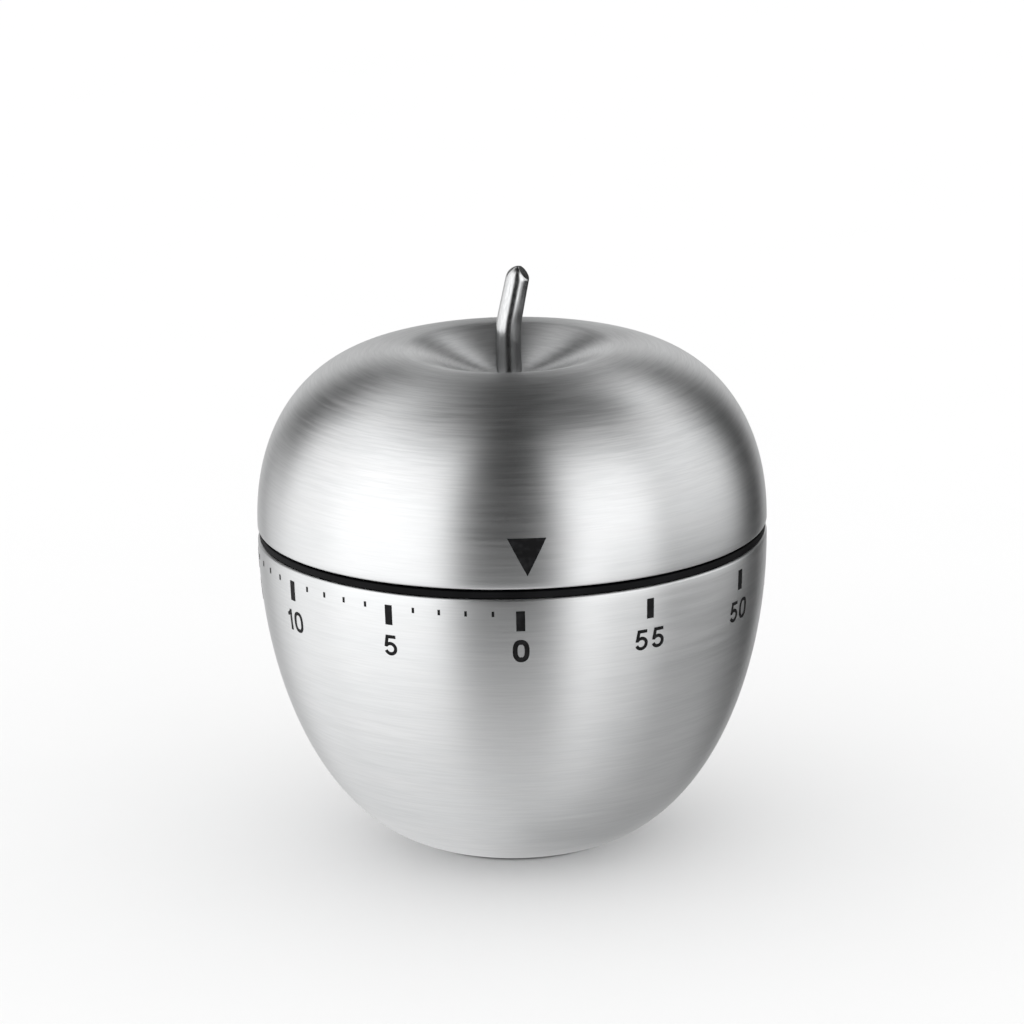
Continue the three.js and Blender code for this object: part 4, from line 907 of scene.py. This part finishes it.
# ---------------------------------------------------------------- printed scale and pointer
class Print:
    """Ink on a shell: flat figures, in millimetres, wrapped round its outside."""

    def __init__(self, samples):
        self.samples = samples
        self.vertices = []
        self.faces = []

    def place(self, x, height, angle, lift):
        """x runs to the right along the surface from an angle; height is above the floor."""
        turn = math.radians(angle) + x / BODY_RADIUS
        radius = surface_radius(self.samples, height) + lift
        return radius * math.sin(turn), -radius * math.cos(turn), height

    def sheet(self, rows, angle):
        """A thin solid from a grid of (x, height) points."""
        start = len(self.vertices)
        down, across = len(rows), len(rows[0])
        for lift in (INK_LIFT, -INK_DEPTH):
            for row in rows:
                self.vertices.extend(self.place(x, height, angle, lift) for x, height in row)

        def at(layer, i, j):
            return start + (layer * down + i) * across + j

        for i in range(down - 1):
            for j in range(across - 1):
                for k in (0, 1):
                    corners = ((i, j), (i, j + 1), (i + 1, j + 1), (i + 1, j))
                    self.faces.append(tuple(at(k, *corner) for corner in corners))
        for i in range(down - 1):
            for j in (0, across - 1):
                self.faces.append((at(0, i, j), at(0, i + 1, j), at(1, i + 1, j), at(1, i, j)))
        for j in range(across - 1):
            for i in (0, down - 1):
                self.faces.append((at(0, i, j), at(0, i, j + 1), at(1, i, j + 1), at(1, i, j)))

    def block(self, width, top, height, angle, steps=(4, 6)):
        """An upright rectangle centred on an angle."""
        rows = []
        for i in range(steps[1] + 1):
            level = top - height * i / steps[1]
            rows.append([(width * (j / steps[0] - 0.5), level) for j in range(steps[0] + 1)])
        self.sheet(rows, angle)

    def stroke(self, points, width, angle, closed=False):
        """A line of even width along points."""
        start = len(self.vertices)
        count = len(points)
        for i, here in enumerate(points):
            before = points[i - 1] if closed or i else None
            after = points[(i + 1) % count] if closed or i < count - 1 else None
            side = mitre(before, here, after) * (width / 2)
            for sign, lift in ((1, INK_LIFT), (-1, INK_LIFT), (-1, -INK_DEPTH), (1, -INK_DEPTH)):
                x, height = here[0] + sign * side.x, here[1] + sign * side.y
                self.vertices.append(self.place(x, height, angle, lift))
        for i in range(count if closed else count - 1):
            this, following = start + 4 * i, start + 4 * ((i + 1) % count)
            for k in range(4):
                n = (k + 1) % 4
                self.faces.append((this + k, this + n, following + n, following + k))
        if not closed:
            last = start + 4 * (count - 1)
            self.faces.append((start, start + 1, start + 2, start + 3))
            self.faces.append((last + 3, last + 2, last + 1, last))

    def finish(self, name, body):
        made = make_object(name, self.vertices, self.faces)
        return piece(made, body, "black_plastic", ink)


def mitre(before, here, after):
    """The sideways step at a point of a line, longer at a corner so that the line keeps its width."""
    here = Vector(here)
    arriving = (here - Vector(before)).normalized() if before else None
    leaving = (Vector(after) - here).normalized() if after else None
    arriving = arriving or leaving
    leaving = leaving or arriving
    along = (arriving + leaving).normalized()
    side = Vector((-along.y, along.x))
    return side / max(side.dot(Vector((-arriving.y, arriving.x))), 0.5)


# Each digit's lines, in a box 1 high whose width is its second entry. They run along the middle
# of the stroke. The nought's line is made by zero_outline.
DIGITS = {
    "0": ([], 0.72),
    "1": ([[(0.04, 0.73), (0.15, 0.765), (0.25, 0.86)], [(0.3, 1), (0.3, 0)]], 0.4),
    "2": (
        [
            arc((0.345, 0.68), (0.25, 0.235), 172, -28, 16) + [(0.14, 0.12)],
            [(0.05, 0.085), (0.66, 0.085)],
        ],
        0.7,
    ),
    "3": (
        [
            arc((0.335, 0.705), (0.215, 0.21), 158, -82, 16),
            arc((0.335, 0.31), (0.255, 0.225), 82, -160, 18),
            [(0.25, 0.51), (0.4, 0.51)],
        ],
        0.68,
    ),
    "4": ([[(0.68, 0.265), (0.13, 0.265), (0.46, 0.86)], [(0.48, 1), (0.48, 0)]], 0.7),
    "5": (
        [
            [(0.63, 0.915), (0.2, 0.915), (0.125, 0.5)]
            + arc((0.345, 0.335), (0.26, 0.25), 140, -158, 20),
        ],
        0.68,
    ),
}
ZERO_POWER = 2.5  # 2 is an ellipse, more is squarer
ZERO_STEPS = 40
POINTER_ROWS = 20
POINTER_COLUMNS = 12
POINTER_POINT = 0.02  # half the width of its blunt point


def zero_outline(width, stroke):
    """Middle line of a nought, in a box 1 high."""
    across, up = (width - stroke) / 2, (1 - stroke) / 2
    points = []
    for i in range(ZERO_STEPS):
        angle = 2 * math.pi * i / ZERO_STEPS
        c, s = math.cos(angle), math.sin(angle)
        x = math.copysign(abs(c) ** (2 / ZERO_POWER), c)
        y = math.copysign(abs(s) ** (2 / ZERO_POWER), s)
        points.append((width / 2 + across * x, 0.5 + up * y))
    return points


def print_number(sheet, text, angle, stroke, size):
    """Prints digits side by side, centred on an angle."""
    widths = [DIGITS[digit][1] * size for digit in text]
    left = -(sum(widths) + DIGIT_GAP * (len(text) - 1)) / 2
    for digit, width in zip(text, widths):
        if digit == "0":
            lines = [zero_outline(DIGITS["0"][1], stroke / size)]
        else:
            lines = DIGITS[digit][0]
        for line in lines:
            points = [(left + x * size, DIGIT_FOOT + y * size) for x, y in line]
            sheet.stroke(points, stroke, angle, closed=digit == "0")
        left += width + DIGIT_GAP


def minute_angle(minute):
    """The scale's numbers grow to the left of its zero."""
    return -360 * minute / MINUTES_ROUND


ticks, dots, numbers = Print(bowl_samples), Print(bowl_samples), Print(bowl_samples)
for minute in range(MINUTES_ROUND):
    if minute % 5 == 0:
        width = TICK_WIDTH if minute else ZERO_TICK_WIDTH
        ticks.block(width, TICK_TOP, TICK_HEIGHT, minute_angle(minute))
        stroke, size = (DIGIT_STROKE, DIGIT_HEIGHT) if minute else (ZERO_STROKE, ZERO_HEIGHT)
        print_number(numbers, str(minute), minute_angle(minute), stroke, size)
    elif minute < DOTTED_MINUTES:
        dots.block(DOT_WIDTH, TICK_TOP, DOT_HEIGHT, minute_angle(minute), (2, 2))
ticks.finish("five_minute_ticks", "base")
dots.finish("minute_dots", "base")
numbers.finish("minute_numbers", "base")

pointer = Print(dome_samples)
pointer_rows = []
for i in range(POINTER_ROWS + 1):
    share = 1 - i / POINTER_ROWS
    half_width = max(POINTER_WIDTH / 2 * share, POINTER_POINT)
    level = POINTER_APEX + (POINTER_TOP - POINTER_APEX) * share
    steps = (2 * j / POINTER_COLUMNS - 1 for j in range(POINTER_COLUMNS + 1))
    pointer_rows.append([(half_width * step_share, level) for step_share in steps])
pointer.sheet(pointer_rows, POINTER_ANGLE)
pointer.finish("pointer_mark", "dial")


# ---------------------------------------------------------------- studio
FLOOR_RADIUS = 3.0
FLOOR_WHITE = 0.86
AMBIENT = 1.16  # lights the floor to just under white
BACKDROP = 1.0

LOWEST = -90  # straight down
# Soft light panels round the timer, as its reflections see them: the middle angle, half the
# width, the softness of the sides, the strength, the heights above the horizon of the lower and
# upper edge, and the softness of those. The flag is black and takes light away.
PANELS = (
    ("key", -60, 31, 9, 1.42, LOWEST, 58, 22),
    ("key_side", -108, 17, 9, 1.14, LOWEST, 58, 22),
    ("key_edge", -136, 11, 8, 0.8, LOWEST, 2, 8),
    ("key_top", -147, 22, 12, 0.76, 42, 59, 9),
    ("fill", 44, 23, 9, 1.45, LOWEST, 52, 20),
    ("fill_side", 95, 26, 12, 0.95, LOWEST, 50, 12),
    ("fill_top", 143, 19, 10, 1.35, 38, 50, 8),
    ("back", 180, 26, 12, 0.71, LOWEST, 22, 8),
    ("flag", 92, 52, 8, -1.0, -31, -12, 5),
)
ROOM = 0.025  # the least that comes from any direction
ECHO = 0.35  # share of the light that reaches a reflection by way of another one
FLOOR_GLOW = 0.75
FLOOR_START = -19  # height above the horizon where the floor starts to show
FLOOR_END = -40
FLOOR_SIDES = 96
FLOOR_RINGS = (0.1, 0.3, 1.0)  # radii in metres
FLOOR_COVER = 0.95  # how much of the panels' light the floor replaces
SHADE_MIDDLE = 118  # the floor is darker on this side
SHADE_HALF_WIDTH = 62
SHADE_SOFTNESS = 36
SHADE_DEPTH = 0.55


def beside(tree, azimuth, middle, half_width, softness):
    """1 within half a width of an angle, fading to 0 over twice the softness."""
    away = tree.math("SUBTRACT", azimuth, math.radians(middle))
    away = tree.math("ABSOLUTE", tree.math("WRAP", away, math.pi, -math.pi))
    inner, outer = math.radians(half_width - softness), math.radians(half_width + softness)
    return tree.smooth(away, inner, outer, 1.0, 0.0)


def step(tree, elevation, edge, softness, below, above):
    """A soft step at a height above the horizon."""
    low, high = math.radians(edge - softness), math.radians(edge + softness)
    return tree.smooth(elevation, low, high, below, above)


def studio_reflection(tree):
    """Brightness of the studio in a direction, for reflections."""
    direction = tree.add("ShaderNodeTexCoord").outputs["Generated"]
    x, y, z = tree.add("ShaderNodeSeparateXYZ", {"Vector": direction}).outputs
    azimuth = tree.math("ARCTAN2", x, tree.math("MULTIPLY", y, -1.0))
    elevation = tree.math("ARCSINE", z)
    total = ROOM
    for _, middle, half_width, softness, strength, low, high, edge in PANELS:
        light = beside(tree, azimuth, middle, half_width, softness)
        light = tree.math("MULTIPLY", light, step(tree, elevation, high, edge, strength, 0.0))
        if low > LOWEST:
            light = tree.math("MULTIPLY", light, step(tree, elevation, low, edge, 0.0, 1.0))
        total = tree.math("ADD", total, light)
    total = tree.math("MAXIMUM", total, ROOM)
    floor_end, floor_start = math.radians(FLOOR_END), math.radians(FLOOR_START)
    below = tree.smooth(elevation, floor_end, floor_start, 1.0, 0.0)
    kept = tree.math("SUBTRACT", 1.0, tree.math("MULTIPLY", below, FLOOR_COVER))
    shade = beside(tree, azimuth, SHADE_MIDDLE, SHADE_HALF_WIDTH, SHADE_SOFTNESS)
    dimming = tree.math("MULTIPLY", shade, FLOOR_GLOW * SHADE_DEPTH)
    glow = tree.math("SUBTRACT", FLOOR_GLOW, dimming)
    return tree.weigh(total, kept, below, glow)


def add_world():
    """White to the camera, an even sky for matte surfaces, and the panels for reflections."""
    world = bpy.data.worlds.new("studio")
    tree = Tree(world)
    ray = tree.add("ShaderNodeLightPath").outputs
    matte_or_white = tree.smooth(ray["Is Camera Ray"], 0.0, 1.0, AMBIENT, BACKDROP)
    echo = tree.smooth(ray["Glossy Depth"], 1.2, 1.8, 1.0, ECHO)
    reflection = tree.math("MULTIPLY", studio_reflection(tree), echo)
    glossy = ray["Is Glossy Ray"]
    strength = tree.math(
        "ADD",
        tree.math("MULTIPLY", reflection, glossy),
        tree.math("MULTIPLY", matte_or_white, tree.math("SUBTRACT", 1.0, glossy)),
    )
    background = tree.add("ShaderNodeBackground", {"Strength": strength})
    background.inputs["Color"].default_value = (1, 1, 1, 1)
    output = tree.add("ShaderNodeOutputWorld")
    tree.tree.links.new(background.outputs[0], output.inputs["Surface"])
    world.cycles.sampling_method = "NONE"
    bpy.context.scene.world = world


def add_floor():
    """A plain pale disc. Reflections look past it to the studio's own lower half."""
    material, tree = new_material("pale_floor")
    grain = tree.noise(tree.own_place(), 40.0, 3.0)
    tree.surface(
        Base_Color=tree.blend(grain, (FLOOR_WHITE,) * 3, (FLOOR_WHITE + 0.01,) * 3),
        Roughness=0.9,
        Specular_IOR_Level=0.0,
    )
    vertices, faces = [(0, 0, 0)], []
    sides = FLOOR_SIDES
    rings = (*FLOOR_RINGS, FLOOR_RADIUS)  # round the point in the middle
    for radius in rings:
        for k in range(sides):
            angle = 2 * math.pi * k / sides
            vertices.append((radius * math.cos(angle) / MM, radius * math.sin(angle) / MM, 0))
    for k in range(sides):
        n = (k + 1) % sides
        faces.append((0, 1 + k, 1 + n))
        for ring in range(len(rings) - 1):
            low, high = 1 + ring * sides, 1 + (ring + 1) * sides
            faces.append((low + k, high + k, high + n, low + n))
    floor = make_object("floor", vertices, faces)
    floor.data.materials.append(material)
    floor.visible_glossy = False


# ---------------------------------------------------------------- camera
CAMERA_AZIMUTH = -1.45
CAMERA_ELEVATION = 15.4
CAMERA_DISTANCE = 0.8  # metres, from the point that it looks at
CAMERA_AIM = 0.04155  # height of that point, in metres
CAMERA_ROLL = 1.05
CAMERA_LENS = 227.2
CAMERA_SENSOR = 36


def add_camera():
    data = bpy.data.cameras.new("camera")
    data.lens = CAMERA_LENS
    data.sensor_width = CAMERA_SENSOR
    data.clip_start = 0.05
    data.clip_end = 10
    camera = bpy.data.objects.new("camera", data)
    turn, rise = math.radians(CAMERA_AZIMUTH), math.radians(CAMERA_ELEVATION)
    level = math.cos(rise)
    back = Vector((math.sin(turn) * level, -math.cos(turn) * level, math.sin(rise)))
    camera.location = Vector((0, 0, CAMERA_AIM)) + back * CAMERA_DISTANCE
    camera.rotation_mode = "QUATERNION"
    upright = (-back).to_track_quat("-Z", "Y")
    camera.rotation_quaternion = upright @ Quaternion((0, 0, 1), math.radians(-CAMERA_ROLL))
    bpy.context.scene.collection.objects.link(camera)
    bpy.context.scene.camera = camera


add_world()
add_floor()
add_camera()
bpy.context.scene.view_settings.view_transform = "Standard"
